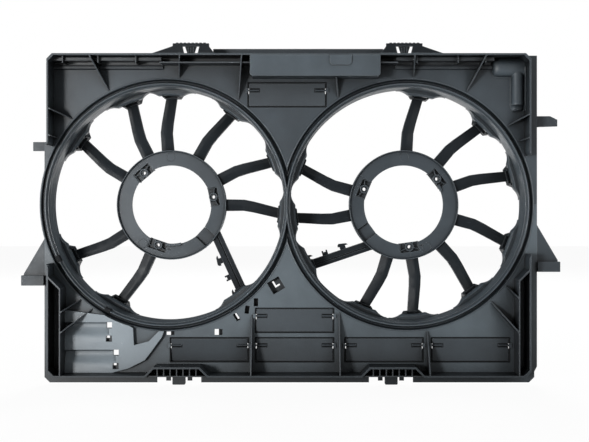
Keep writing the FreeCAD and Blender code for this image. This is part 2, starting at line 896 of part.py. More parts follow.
def cable_arm(side, turn):
    """Straight arm that carries the motor leads in two hooded clips and a fork."""
    body = new_body(f"{side}_cable_arm")
    half = S.cable_width / 2
    middle = S.cable_offset
    bar = new_sketch(body, "bar", level=arm_front)
    start, end = S.motor_outer * 0.7, barrel_skin + S.skin
    rectangle(bar, start, end, middle - half, middle + half)
    pad(body, bar, arm_back - arm_front)
    groove = new_sketch(body, "groove", level=arm_front)
    rectangle(groove, start - S.skin, end + S.skin, middle, middle + S.cable_groove)
    pocket(body, groove, S.cable_groove)
    foot = new_sketch(body, "foot", level=barrel_back)
    inner = root(S.barrel * S.barrel - middle * middle) - S.foot_reach
    spread = (S.foot_base - S.foot_top) / 2
    polygon(foot, [(inner, middle - half), (end, middle - half - spread),
                   (end, middle + half + spread), (inner, middle + half)])
    pad(body, foot, arm_back - barrel_back)
    clips = new_sketch(body, "clips", level=arm_front + S.clip_wall)
    edge = middle - half
    tip, neck, wall = edge - S.clip_reach, edge - S.clip_reach / 2, S.clip_wall
    first = S.motor_outer + S.clip_start
    for west in (first, first + 2 * S.clip_pitch):
        east = west + S.clip_length
        polygon(clips, [
            (west + wall, edge + S.skin), (west + wall, neck), (west - wall, neck),
            (west, tip + wall), (east - wall, tip), (east, tip + wall), (east, neck),
            (east - wall, neck), (east - wall, edge + S.skin)])
    west = first + S.clip_pitch + wall
    east = west + S.clip_length - 2 * wall
    polygon(clips, [
        (west, edge + S.skin), (west, tip + wall), (west + wall, tip + wall),
        (west + wall, neck), (east - wall, neck), (east - wall, tip + wall),
        (east, tip + wall), (east, edge + S.skin)])
    pad(body, clips, S.motor_depth / 2)
    trim_to_rings(body)
    place(body, FANS[side], 0.0, fan_height, turn)
    keep(body)


# ---------------------------------------------------------------- flaps


def flap(name, east, up, ajar):
    """Hinged flap drawn about its own hinge line, its seal lapping the panel's back."""
    body = new_body(f"{name}_flap")
    half = half_window - S.flap_gap
    high = hinge_below_top - S.flap_gap
    low = high + 2 * S.flap_gap - S.window_height
    slot = S.pin_radius + S.pin_slot
    sketch = new_sketch(body, "outline", level=-S.flap / 2)
    polygon(sketch, [
        (-half, low), (half, low), (half, -slot), (half - S.pin_length, -slot),
        (half - S.pin_length, slot), (half, slot), (half, high), (-half, high),
        (-half, slot), (-half + S.pin_length, slot), (-half + S.pin_length, -slot),
        (-half, -slot)])
    pad(body, sketch, S.flap)
    seal_level = panel_back + S.seal_gap - hinge_depth
    seal_top = -S.socket_radius - S.seal_drop
    rim, lap = S.seal_rim, S.flap_gap + S.seal_lap
    for part, level, depth, out in (("rim", S.flap / 2, seal_level - S.flap / 2, size_of(0.0)),
                                    ("seal", seal_level, S.seal, lap)):
        frame = new_sketch(body, part, level=level)
        rectangle(frame, -half - out, half + out, low - out, seal_top)
        rectangle(frame, -half + rim, half - rim, low + rim, seal_top - rim)
        pad(body, frame, depth)
    reach = half_window + S.socket_length - S.flap_gap / 2
    length = reach - half + S.pin_length
    for end, start in (("left", -reach), ("right", reach - length)):
        pin = new_sketch(body, f"pin_{end}", plane="YZ_Plane", level=start)
        circle(pin, 0.0, 0.0, S.pin_radius)
        pad(body, pin, length, backwards=False)
    place(body, east, hinge_depth, hinge_height(up), ajar, axis=(1, 0, 0))
    keep(body)


# ---------------------------------------------------------------- cover and latches


def top_cover():
    body = new_body("top_cover")
    window_east, window_up = TOP_WINDOW
    low = window_up + tall_window + S.cover_gap
    shell = new_sketch(body, "box")
    west, east = fan_middle - S.cover_left, fan_middle + S.cover_right
    round_off = S.cover_corner
    polygon(shell, [(west, inside_top), (west, low + round_off), (west + round_off, low),
                    (east - round_off, low), (east, low + round_off), (east, inside_top)])
    pad(body, shell, panel_front)
    hollow = new_sketch(body, "hollow", level=S.wall)
    rectangle(hollow, west + S.wall, east - S.wall, low + S.wall, inside_top - S.wall)
    pocket(body, hollow)
    step = new_sketch(body, "pad", level=-S.pad_proud)
    left = fan_middle + S.pad_left
    right = left + S.pad_width
    base = inside_top - S.pad_height
    polygon(step, [(left, inside_top), (left, base + round_off), (left + round_off, base),
                   (right - round_off, base), (right, base + round_off), (right, inside_top)])
    pad(body, step, S.pad_proud)
    keep(body)


def latch(side, facing):
    """Latch frame on the top wall, its grip bar toothed, round a free tongue."""
    body = new_body(f"{side}_latch")
    half = S.latch_width / 2
    top = S.latch_rise
    shoulder = top - S.grip_height
    outer = (half + S.shoulder_long) * facing
    inner = -(half + S.shoulder_short) * facing
    edge = half * facing
    outline = new_sketch(body, "outline")
    polygon(outline, [(outer, 0.0), (edge, shoulder), (edge, top), (-edge, top),
                      (-edge, shoulder), (inner, 0.0)])
    pad(body, outline, S.latch_depth)
    slot = new_sketch(body, "slot")
    upper = S.tongue_top / 2 + S.tongue_slot
    lower = S.tongue_bottom / 2 + S.tongue_slot
    polygon(slot, [(-upper, shoulder), (-lower, -S.wall), (lower, -S.wall),
                   (upper, shoulder)])
    pocket(body, slot)
    teeth = new_sketch(body, "teeth")
    count = 8
    for step in range(count):
        west = (step - count / 2) * S.grip_pitch + (S.grip_pitch - S.grip_tooth) / 2
        rectangle(teeth, west, west + S.grip_tooth, top, top + S.chamfer)
    pad(body, teeth, S.latch_depth)
    place(body, latch_places[side], 0.0, half_height)
    keep(body)


def latch_tongue(side):
    """Springy tongue that hangs in the latch slot, ribbed for grip."""
    body = new_body(f"{side}_latch_tongue")
    sketch = new_sketch(body, "outline", level=-S.tongue / 2)
    top, low = S.tongue_top / 2, S.tongue_bottom / 2
    high = -S.tongue_gap
    bottom = high - S.tongue_height
    polygon(sketch, [(-top, high), (-low, bottom), (low, bottom), (top, high)])
    pad(body, sketch, S.tongue)
    proud = S.tongue_ridge
    ridges = new_sketch(body, "ridges", level=-S.tongue / 2 - proud)
    for step in (-1, 0, 1):
        east = step * S.tongue_bottom / 3
        rectangle(ridges, east - proud / 2, east + proud / 2, bottom + proud, high - proud)
    pad(body, ridges, proud)
    place(body, latch_places[side], S.latch_depth / 2,
          half_height + S.latch_rise - S.grip_height)
    keep(body)


# ---------------------------------------------------------------- hooks, tabs and brackets


def bottom_hook(side):
    """Locating hook on the panel's back edge, with a small guide on each side."""
    body = new_body(f"{side}_hook")
    half = S.hook_width / 2
    bottom = -S.hook_drop
    blunt = S.chamfer
    main = new_sketch(body, "hook", level=panel_back - S.hook_thick)
    polygon(main, [(-half, 0.0), (-half, bottom + blunt), (-half + blunt, bottom),
                   (half - blunt, bottom), (half, bottom + blunt), (half, 0.0)])
    pad(body, main, S.hook_thick)
    guides = new_sketch(body, "guides", level=panel_front)
    reach = half + S.guide_gap + S.guide_width
    inner = reach - S.guide_width
    low = bottom + S.hook_drop / 3
    polygon(guides, [(-reach, 0.0), (-reach, low), (-inner, low), (-inner, -S.wall),
                     (inner, -S.wall), (inner, low), (reach, low), (reach, 0.0)])
    pad(body, guides, S.panel)
    place(body, hook_places[side], 0.0, -half_height)
    keep(body)


def side_tabs():
    """Flat tabs that stand out from the panel's upper edges."""
    low = fan_height + S.tab_rise
    high = low + S.tab_height
    east = east_edge + S.tab_reach
    blunt = S.tab_height / 3
    keep(plate("right_upper_tab", [
        (east_edge, low), (east, low + S.chamfer), (east, high - blunt),
        (east - 2 * blunt, high), (east_edge, high)], panel_front, 2 * S.panel))
    low = fan_height + S.small_tab_rise
    high = low + S.small_tab_height
    west = west_edge - S.small_tab_reach
    keep(plate("left_upper_tab", [
        (west_edge, low), (west, low), (west, high), (west_edge, high)],
        panel_front, 2 * S.panel))


def side_bracket(side, edge, facing, drop):
    """Triangular web down to a deep foot that stands out from the panel's edge."""
    top = fan_height - drop
    low = top - S.bracket_height
    reach = edge + S.bracket_reach * facing
    foot_reach = edge + (S.bracket_reach + S.wall) * facing
    foot = low - S.wall
    body = plate(f"{side}_bracket", [
        (edge, top), (reach, low), (reach, foot), (edge, foot)], panel_front, S.panel)
    step = new_sketch(body, "foot", level=panel_back - S.bracket_foot_depth + S.wall)
    rectangle(step, edge, foot_reach, foot - S.bracket_foot, foot)
    pad(body, step, S.bracket_foot_depth)
    keep(body)


# ---------------------------------------------------------------- wiring tray and rails


TRAY_OUTLINE = (
    (0.0, 0.0), (0.0, 1.0), (0.404, 0.92), (0.592, 0.807), (0.682, 0.712), (0.692, 0.44),
    (0.841, 0.504), (0.94, 0.664), (1.0, 0.696), (0.97, 0.568), (0.89, 0.392), (0.8, 0.2),
    (0.642, 0.073), (0.474, 0.0))
TROUGH = ((0.0, -0.2), (0.02, 0.5), (0.12, 0.95), (0.3, 1.0), (0.55, 0.75), (0.8, 0.35),
          (1.0, 0.0), (1.0, -0.2))
tray_west = S.channel_left + S.rib - inside_side
tray_top = S.tray_rise - inside_top


def trough_ends():
    """Top edge and far end of each trough."""
    for step in (0, 1):
        yield (tray_top - S.trough_drop - S.trough_pitch * step,
               tray_west + S.trough_length + S.trough_extra * step)


def cut_trough_holes(body, level, share):
    """Holes at the troughs' ends where the wiring leaves, each with a clip hole below."""
    sketch = new_sketch(body, "trough_holes", level=level)
    size = S.trough_hole
    for high, end in trough_ends():
        west = end - size / 2
        rectangle(sketch, west, west + size, high - size, high)
        low = high - S.trough_width
        rectangle(sketch, west, west + size * share, low - size * share, low)
    pocket(body, sketch, S.tray_height + S.panel)


def wiring_tray():
    """Raised floor for the wiring in the lower left corner, with two scooped troughs."""
    body = new_body("wiring_tray")
    floor = panel_front - S.tray_height
    gate = LOWER_WINDOWS["lower_left"][0] - half_window - S.tray_gap
    outline = new_sketch(body, "outline", level=floor)
    polygon(outline, [(tray_west + (gate - tray_west) * along, S.tray_rise * up - inside_top)
                      for along, up in TRAY_OUTLINE])
    pad(body, outline, S.tray_height)
    clear = new_sketch(body, "ring_clearance")
    circle(clear, left_fan, fan_height, ring_outer)
    pocket(body, clear)
    for step, (high, end) in enumerate(trough_ends()):
        trough = new_sketch(body, f"trough_{step}", plane="YZ_Plane", level=tray_west)
        polygon(trough, [(floor + S.trough_depth * deep, high - S.trough_width * down)
                         for down, deep in TROUGH])
        pocket(body, trough, end - tray_west, backwards=False)
    cut_trough_holes(body, floor, 1.0)
    return keep(body)


def top_rail(name, west, east, trench, studs, around):
    """Bar and bead below the top wall, tied by studs and cut round the gussets.

    A thin wall carries on from the bar and makes a deep trench under the latch.
    """
    body = new_body(f"{name}_whole")
    sketch = new_sketch(body, "section", plane="YZ_Plane", level=west)
    high = inside_top - S.rail_drop
    proud = panel_front - S.rail_proud
    strap = panel_front - S.strap
    bar = panel_front - S.bar_proud
    bar_top = inside_top - S.rail_groove
    slope = S.rail_height / 4
    polygon(sketch, [
        (panel_front, bar_top), (bar, bar_top), (bar, bar_top - S.bar_height),
        (strap, bar_top - S.bar_height), (strap, high), (proud + S.chamfer / 2, high - slope / 3),
        (proud, high - slope), (proud, high - S.rail_height + slope),
        (panel_front, high - S.rail_height)])
    pad(body, sketch, east - west, backwards=False)
    for index, share in enumerate(studs):
        stud = new_sketch(body, f"stud_{index}", plane="YZ_Plane",
                          level=west + (east - west) * share)
        rectangle(stud, panel_front - S.stud_proud, panel_front, high, inside_top)
        pad(body, stud, S.rib, backwards=False)
    low = inside_top - S.trench
    wall = new_sketch(body, "trench", level=panel_front - S.trench_proud)
    rectangle(wall, *trench, low - S.rib, low)
    pad(body, wall, S.trench_proud)
    keep(boolean("Cut", name, body, around))


def top_rails(ribs, top_wall):
    around = fuse("rail_surroundings", [ribs, top_wall])
    lap = S.rib
    left_end = left_fan - S.rail_end
    right_start = fan_middle + S.cover_right + S.trench_right
    top_rail("left_rail", -inside_side, left_end,
             (left_end - lap, fan_middle - S.cover_left), (0.11, 0.43, 0.77), around)
    top_rail("right_rail", right_start, inside_side - S.duct_length,
             (fan_middle + S.cover_right, right_start + lap), (0.2, 0.62, 0.9), around)


def corner_duct(top_wall):
    """Two rounded bulges in the top right corner: one below the wall, one down the side."""
    body = new_body("corner_duct_whole")
    tall, proud = S.duct_height, S.duct_proud
    low = inside_top - tall
    along = new_sketch(body, "along", plane="YZ_Plane", level=inside_side - S.duct_length)
    polygon(along, [(panel_front, low)] + [
        (panel_front - proud * out, low + tall * up)
        for up, out in ((0.05, 0.3), (0.2, 0.6), (0.45, 0.85), (0.7, 0.96), (1.0, 1.0))
        ] + [(panel_front, inside_top)])
    pad(body, along, S.duct_length, backwards=False)
    wide = S.duct_width
    west = inside_side - S.rib - wide
    foot = inside_top - S.duct_drop
    round_top = ((0.0, 0.0), (0.05, 0.35), (0.17, 0.68), (0.36, 0.88), (0.64, 0.88),
                 (0.83, 0.68), (0.95, 0.35), (1.0, 0.0))
    down = new_sketch(body, "down", plane="XY_Plane", level=foot)
    polygon(down, [(west + wide * across, panel_front - proud * out)
                   for across, out in round_top])
    pad(body, down, S.duct_drop - tall / 2, backwards=False)
    mouth = new_sketch(body, "mouth", plane="XY_Plane", level=foot)
    polygon(mouth, [(west + wide * (0.14 + 0.72 * across), panel_front - proud * out * 0.76)
                    for across, out in round_top])
    pocket(body, mouth, S.mouth, backwards=False)
    keep(boolean("Cut", "corner_duct", body, top_wall))


# ---------------------------------------------------------------- ribs


def rib_plate(name, start, end):
    """Upright triangle: as tall as the wall at its start, nothing at its end."""
    (east, up), (far_east, far_up) = start, end
    body = new_body(name)
    run, rise = far_east - east, far_up - up
    length = root(run * run + rise * rise)
    sketch = new_sketch(body, "side", plane="XY_Plane", level=-S.rib / 2)
    polygon(sketch, [(-S.rib, 0.0), (-S.rib, panel_front), (length, panel_front),
                     (length, panel_front - S.rib_nose), (2 * S.rib, 0.0)])
    pad(body, sketch, S.rib, backwards=False)
    return place(body, east, 0.0, up, heading(run, rise))


def ring_rib(name, side, turn, wall, slant):
    """A gusset from beside a fan ring's lip to one of the walls."""
    reach = ring_outer + S.rib_gap
    east = FANS[side] + reach * cosine(turn)
    up = fan_height + reach * sine(turn)
    if wall == "top":
        start = (east + slant, inside_top)
    else:
        inner = {"left": -inside_side, "right": inside_side,
                 "left_channel": -inside_side + S.channel_left + S.rib,
                 "right_channel": inside_side - S.channel_right - S.rib}[wall]
        start = (inner, up + slant)
    return rib_plate(name, start, (east, up))


def post_ribs(bottom_wall):
    """Upright gussets on the posts between the lower windows, cut to the bottom wall."""
    right_inner, row = LOWER_WINDOWS["right_inner"]
    posts = (("left", centre_column - half_window - S.post_left / 2, S.slit_length + S.post_left),
             ("right", centre_column + half_window + S.post_middle / 2, 0.0),
             ("right", right_inner + half_window + S.post_right / 2, 0.0))
    clear = ring_outer + S.rib_gap
    plates = []
    for index, (side, east, short) in enumerate(posts):
        away = east - FANS[side]
        top = fan_height - root(clear * clear - away * away) - short
        plates.append(rib_plate(f"bottom_ribs_{index}", (east, -inside_top), (east, top)))
    inside = block("bottom_ribs_bounds", -inside_side, inside_side, 0.0, panel_front,
                   -inside_top, inside_top)
    ribs = boolean("Common", "bottom_ribs_whole", fuse("bottom_ribs_plates", plates), inside)
    keep(boolean("Cut", "bottom_ribs", ribs, bottom_wall))


RIBS = {
    "top_ribs": [("left", 116.8, "top", -22.0), ("left", 84.2, "top", 4.6),
                 ("left", 55.6, "top", 6.6), ("right", 122.9, "top", -6.7),
                 ("right", 87.3, "top", -1.9),
                 ("right", 62.4, "top", 23.2)],
    "left_ribs": [("left", 137.7, "left", 12.5), ("left", 148.5, "left", 2.0)],
    "right_ribs": [("right", 38.2, "right", 14.0), ("right", 29.7, "right", 3.2)],
    "lower_right_ribs": [("right", -39.4, "right_channel", -16.0),
                         ("right", -49.3, "right_channel", -42.0)],
    "lower_left_ribs": [("left", 228.0, "left_channel", -16.0),
                        ("left", 234.6, "left_channel", -32.0)],
}


def rib_groups(tray):
    """Gusset ribs between the walls and the rings, one node to each wall.

    Returns the group below the top wall.
    """
    cover_low = TOP_WINDOW[1] + tall_window + S.cover_gap
    tools = {
        "top_ribs": block("cover_space", fan_middle - S.cover_left,
                          fan_middle + S.cover_right, 0.0, panel_front, cover_low, inside_top),
        "lower_left_ribs": tray}
    made = {}
    for name, ribs in RIBS.items():
        plates = [ring_rib(f"{name}_{index}", *rib) for index, rib in enumerate(ribs)]
        west, east = -inside_side, inside_side
        if name == "lower_right_ribs":
            east = inside_side - S.channel_right - S.rib
        if name == "lower_left_ribs":
            west = tray_west
        inside = block(f"{name}_bounds", west, east, 0.0, panel_front, -inside_top, inside_top)
        whole = name if name not in tools else f"{name}_whole"
        group = boolean("Common", whole, fuse(f"{name}_plates", plates), inside)
        if name in tools:
            group = boolean("Cut", name, group, tools[name])
        made[name] = keep(group)
    return made["top_ribs"]


def hook_ribs():
    """Shelf with short ribs that closes each arch over its hook."""
    low, high = -half_height, S.arch_rise - half_height
    ribs = []
    front = panel_front - S.arch_rib_depth
    reach = S.notch_width / 2 + S.arch_rise - S.wall
    for side, east in hook_places.items():
        ribs.append(block(f"{side}_shelf", east - reach, east + reach, front, panel_front,
                          low, low + S.rib))
        for step in range(-3, 4):
            middle = east + S.arch_rib_pitch * step
            ribs.append(block(f"{side}_arch_rib_{step + 3}", middle - S.rib / 2,
                              middle + S.rib / 2, front, panel_front, low, high))
    keep(fuse("hook_ribs", ribs))


def channel_rib(side, facing, inset):
    """Tall inner rib that makes a deep channel with the side wall."""
    edge = inside_side * facing
    inner = edge - inset * facing
    thick = inner - S.rib * facing
    reach = inner - FANS[side]
    clear = ring_outer + S.rib_gap
    top = fan_height - root(clear * clear - reach * reach) - S.channel_gap
    foot = -inside_top
    keep(plate(f"{side}_channel_rib", [
        (inner, foot), (inner, top), (edge, top + inset), (edge, top + inset + 2 * S.rib),
        (thick, top + S.rib), (thick, foot)], 0.0, panel_front))


# ---------------------------------------------------------------- build

upper_panel()
lower_panel()
rim_walls = walls()
for fan_side in FANS:
    fan_ring(fan_side)
motor_ring("left", S.left_boss_turn, S.left_recess_turn)
motor_ring("right", S.right_boss_turn, S.right_recess_turn)
stator_arms()
cable_arm("left", S.left_cable_turn)
cable_arm("right", S.right_cable_turn)
for flap_name, (flap_east, flap_up) in WINDOWS.items():
    flap(flap_name, flap_east, flap_up, S.flap_ajar if flap_name == "lower_left" else 0.0)
top_cover()
latch("left", -1.0)
latch("right", 1.0)
for latch_side in latch_places:
    latch_tongue(latch_side)
    bottom_hook(latch_side)
side_tabs()
side_bracket("left", west_edge, -1.0, S.left_bracket_drop)
side_bracket("right", east_edge, 1.0, S.right_bracket_drop)
post_ribs(rim_walls["bottom_wall"])
top_rails(rib_groups(wiring_tray()), rim_walls["top_wall"])
corner_duct(rim_walls["top_wall"])
hook_ribs()
channel_rib("left", -1.0, S.channel_left)
channel_rib("right", 1.0, S.channel_right)

DOC.recompute()

troubled = [made.Name for made in DOC.Objects
            if "Invalid" in made.State or "Error" in made.State]
if troubled:
    raise RuntimeError(f"failed features: {', '.join(troubled)}")
os.makedirs("parts", exist_ok=True)
for node in NODES:
    if node.Shape.isNull() or not node.Shape.isValid() or not node.Shape.Solids:
        raise RuntimeError(f"{node.Label} has no valid solid")
    node.Shape.exportStep(os.path.join("parts", f"{node.Label}.step"))
print(f"{len(NODES)} nodes written")
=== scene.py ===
"""Looks of a twin fan radiator shroud.

The shroud is one dark moulding in glass filled plastic with six air flaps. This
script gives every moulded part its finish, adds the small moulded details that sit
on the parts, and sets up the studio and the camera. The finishes carry painted shade
in recesses, painted highlights on corners and lighter and darker copies of one colour
per part, and near-black pieces paint the shadow in gaps, slots and notches.
"""

import json
import logging
import math
from dataclasses import dataclass, field
from enum import Enum
from typing import Sequence

import bmesh
import bpy
import numpy as np
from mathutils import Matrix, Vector


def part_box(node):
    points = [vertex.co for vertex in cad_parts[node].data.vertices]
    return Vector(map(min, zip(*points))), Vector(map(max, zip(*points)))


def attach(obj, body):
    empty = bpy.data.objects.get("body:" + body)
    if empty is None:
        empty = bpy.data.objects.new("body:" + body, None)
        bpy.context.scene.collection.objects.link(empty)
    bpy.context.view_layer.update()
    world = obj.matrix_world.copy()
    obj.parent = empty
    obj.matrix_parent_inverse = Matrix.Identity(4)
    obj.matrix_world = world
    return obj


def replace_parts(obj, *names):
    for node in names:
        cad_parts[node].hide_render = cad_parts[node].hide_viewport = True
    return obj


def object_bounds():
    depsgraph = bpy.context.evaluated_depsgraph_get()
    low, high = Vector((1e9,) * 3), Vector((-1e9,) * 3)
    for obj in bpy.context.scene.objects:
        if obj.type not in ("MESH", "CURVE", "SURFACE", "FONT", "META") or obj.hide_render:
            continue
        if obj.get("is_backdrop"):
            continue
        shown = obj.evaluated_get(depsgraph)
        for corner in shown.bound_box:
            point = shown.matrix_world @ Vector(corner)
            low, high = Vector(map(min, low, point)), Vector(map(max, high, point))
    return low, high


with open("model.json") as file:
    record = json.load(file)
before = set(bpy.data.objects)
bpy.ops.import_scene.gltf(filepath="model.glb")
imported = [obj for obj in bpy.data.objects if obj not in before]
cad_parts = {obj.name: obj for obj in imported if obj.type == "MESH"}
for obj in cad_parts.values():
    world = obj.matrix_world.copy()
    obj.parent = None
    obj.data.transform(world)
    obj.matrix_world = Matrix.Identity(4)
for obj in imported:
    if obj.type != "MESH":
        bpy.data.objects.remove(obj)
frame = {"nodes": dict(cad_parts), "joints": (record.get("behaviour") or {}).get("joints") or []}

LOG = logging.getLogger("shroud")
Colour = tuple[float, float, float]
Point = tuple[float, float, float]
Pair = tuple[float, float]


@dataclass(frozen=True)
class Noise:
    """One noise pattern.

    Attributes:
        scale: Cells per metre.
        detail: Octaves.
        rough: Strength of each octave against the last.
    """

    scale: float
    detail: float
    rough: float


# What all the finishes have alike.
PAINTED_HIGHLIGHT = (0.19, 0.21, 0.225, 1.0)  # pale colour of the painted highlight on open corners
PLASTIC_IOR = 1.5
PROBES = 4  # rays that feel for a corner, and for the walls round a spot for the painted shade
CLOUDS = Noise(14.0, 4.0, 0.55)  # broad clouding of the colour
CLOUD_STOPS = (0.3, 0.72)  # noise values of the darkest and the palest cloud
FLOW = Noise(60.0, 5.0, 0.6)  # streaks of more and less gloss
FLOW_VALUES = (0.25, 0.75)  # noise values between which the gloss changes
FLOW_ROUGHNESS = (-0.07, 0.08)  # roughness against the finish's own
GRAIN_DETAIL = (2.0, 0.5)  # octaves, and strength of each against the last
GRAIN_STRENGTH = 0.6
SHADE_REACH = 0.07  # metres from which a wall darkens the colour, a painted shade
SHADE_OPENNESS = (0.38, 0.92)  # share of open air deep down and out in the open, over which the painted shade runs
HIGHLIGHT_COSINES = (0.975, 0.8)  # cosine of the normal's turn where the painted corner highlight starts and is full


class Texture(Enum):
    """How the mould's steel was finished, which the plastic copies."""

    SATIN = "satin"
    SPARKED = "sparked"
    POLISHED = "polished"


@dataclass(frozen=True)
class MouldedPlastic:
    """Glass filled plastic: a dark colour, flow clouding, fine grain, softened edges, painted shade
    in recesses and painted highlights on corners.

    Attributes:
        name: Name of the material.
        colour: Linear base colour.
        roughness: Middle of the roughness range.
        texture: Finish of the mould's steel.
        clouding: Share by which the colour wanders over the moulding.
        edge: Radius of the softened edges in metres.
        painted_highlight: Share by which open corners are painted paler, a painted highlight.
        painted_shade: Share of the colour that is left deep between walls, a painted shade.
        gloss: Specular level.
    """

    name: str
    colour: Colour
    roughness: float = 0.45
    texture: Texture = Texture.SATIN
    clouding: float = 0.22
    edge: float = 0.0010
    painted_highlight: float = 0.75
    painted_shade: float = 0.12
    gloss: float = 0.4

    def grain(self) -> Pair:
        """Gives the grain's cells per metre and its height in metres."""
        return {
            Texture.SATIN: (1500.0, 0.00004),
            Texture.SPARKED: (900.0, 0.00009),
            Texture.POLISHED: (2400.0, 0.00001),
        }[self.texture]

    def material(self) -> bpy.types.Material:
        """Makes the node material.

        Returns:
            A material whose clouding, gloss and grain read Object coordinates.
        """
        made = bpy.data.materials.new(self.name)
        made.use_nodes = True
        tree = made.node_tree
        nodes, links = tree.nodes, tree.links
        shader = nodes["Principled BSDF"]
        shader.inputs["Specular IOR Level"].default_value = self.gloss
        shader.inputs["IOR"].default_value = PLASTIC_IOR
        place = nodes.new("ShaderNodeTexCoord").outputs["Object"]

        soft = nodes.new("ShaderNodeBevel")
        soft.samples = PROBES
        soft.inputs["Radius"].default_value = self.edge
        colour = self._colour(tree, place, soft.outputs["Normal"])
        links.new(colour, shader.inputs["Base Color"])

        flow = self._noise(tree, place, FLOW)
        smooth, dull = FLOW_ROUGHNESS
        spread = (self.roughness + smooth, self.roughness + dull)
        links.new(self._range(tree, flow, FLOW_VALUES, spread), shader.inputs["Roughness"])

        scale, height = self.grain()
        fine = self._noise(tree, place, Noise(scale, *GRAIN_DETAIL))
        bump = nodes.new("ShaderNodeBump")
        bump.inputs["Strength"].default_value = GRAIN_STRENGTH
        bump.inputs["Distance"].default_value = height
        links.new(fine, bump.inputs["Height"])
        links.new(soft.outputs["Normal"], bump.inputs["Normal"])
        links.new(bump.outputs["Normal"], shader.inputs["Normal"])
        return made

    def _colour(
        self,
        tree: bpy.types.NodeTree,
        place: bpy.types.NodeSocket,
        normal: bpy.types.NodeSocket,
    ) -> bpy.types.NodeSocket:
        """Mixes the clouded colour, the painted shade in recesses and the painted highlights on
        corners.

        The painted shade darkens the colour where walls shut out the open air, and the painted
        highlight pales it on open corners, where the softened normal turns away from the face's own.

        Args:
            tree: Node tree of the material.
            place: Socket that gives the coordinates.
            normal: Softened normal.

        Returns:
            The base colour.
        """
        nodes, links = tree.nodes, tree.links
        cloud = self._noise(tree, place, CLOUDS)
        tint = nodes.new("ShaderNodeValToRGB")
        shares = (1.0 - self.clouding, 1.0 + self.clouding)
        for stop, where, share in zip(tint.color_ramp.elements, CLOUD_STOPS, shares):
            stop.position = where
            stop.color = (*[part * share for part in self.colour], 1.0)
        links.new(cloud, tint.inputs["Fac"])

        # Painted shade: the colour is darkened where walls shut out the open air.
        around = nodes.new("ShaderNodeAmbientOcclusion")
        around.samples = PROBES
        around.inputs["Distance"].default_value = SHADE_REACH
        depth = self._range(tree, around.outputs["AO"], SHADE_OPENNESS, (self.painted_shade, 1.0))
        dull = nodes.new("ShaderNodeMix")
        dull.data_type, dull.blend_type = "RGBA", "MULTIPLY"
        dull.inputs["Factor"].default_value = 1.0
        links.new(tint.outputs["Color"], dull.inputs["A"])
        links.new(depth, dull.inputs["B"])

        # Painted highlight: corners open to the air are painted paler, the way lamps catch their
        # edges.
        turn = nodes.new("ShaderNodeVectorMath")
        turn.operation = "DOT_PRODUCT"
        links.new(normal, turn.inputs[0])
        links.new(nodes.new("ShaderNodeNewGeometry").outputs["True Normal"], turn.inputs[1])
        corner = self._range(tree, turn.outputs["Value"], HIGHLIGHT_COSINES, (0.0, self.painted_highlight))
        painted_highlight_mask = nodes.new("ShaderNodeMath")
        painted_highlight_mask.operation = "MULTIPLY"
        links.new(corner, painted_highlight_mask.inputs[0])
        links.new(depth, painted_highlight_mask.inputs[1])
        painted_highlight_mix = nodes.new("ShaderNodeMix")
        painted_highlight_mix.data_type = "RGBA"
        painted_highlight_mix.inputs["B"].default_value = PAINTED_HIGHLIGHT
        links.new(painted_highlight_mask.outputs["Value"], painted_highlight_mix.inputs["Factor"])
        links.new(dull.outputs["Result"], painted_highlight_mix.inputs["A"])
        return painted_highlight_mix.outputs["Result"]

    def _range(
        self,
        tree: bpy.types.NodeTree,
        value: bpy.types.NodeSocket,
        given: Pair,
        wanted: Pair,
    ) -> bpy.types.NodeSocket:
        """Maps one range of a value onto another and holds it at the ends.

        Args:
            tree: Node tree of the material.
            value: Socket with the value.
            given: Two values that come in.
            wanted: The two values that go out for them.

        Returns:
            The mapped value.
        """
        step = tree.nodes.new("ShaderNodeMapRange")
        for socket, number in zip(("From Min", "From Max", "To Min", "To Max"), given + wanted):
            step.inputs[socket].default_value = number
        tree.links.new(value, step.inputs["Value"])
        return step.outputs["Result"]

    def _noise(
        self,
        tree: bpy.types.NodeTree,
        place: bpy.types.NodeSocket,
        pattern: Noise,
    ) -> bpy.types.NodeSocket:
        """Adds one noise to the tree.

        Args:
            tree: Node tree of the material.
            place: Socket that gives the coordinates.
            pattern: Scale, detail and roughness of the noise.

        Returns:
            The noise's value between 0 and 1.
        """
        noise = tree.nodes.new("ShaderNodeTexNoise")
        noise.inputs["Scale"].default_value = pattern.scale
        noise.inputs["Detail"].default_value = pattern.detail
        noise.inputs["Roughness"].default_value = pattern.rough
        tree.links.new(place, noise.inputs["Vector"])
        return noise.outputs["Fac"]


def seen_directly(tree: bpy.types.NodeTree) -> bpy.types.NodeSocket:
    """Tells the rays that see the backdrop plainly from those that only light the shroud.

    Args:
        tree: Node tree of the paper or the world.

    Returns:
        1 for a camera ray or a ray through glass, and 0 for any other.
    """
    path = tree.nodes.new("ShaderNodeLightPath")
    either = tree.nodes.new("ShaderNodeMath")
    either.operation = "MAXIMUM"
    tree.links.new(path.outputs["Is Camera Ray"], either.inputs[0])
    tree.links.new(path.outputs["Is Transmission Ray"], either.inputs[1])
    return either.outputs["Value"]


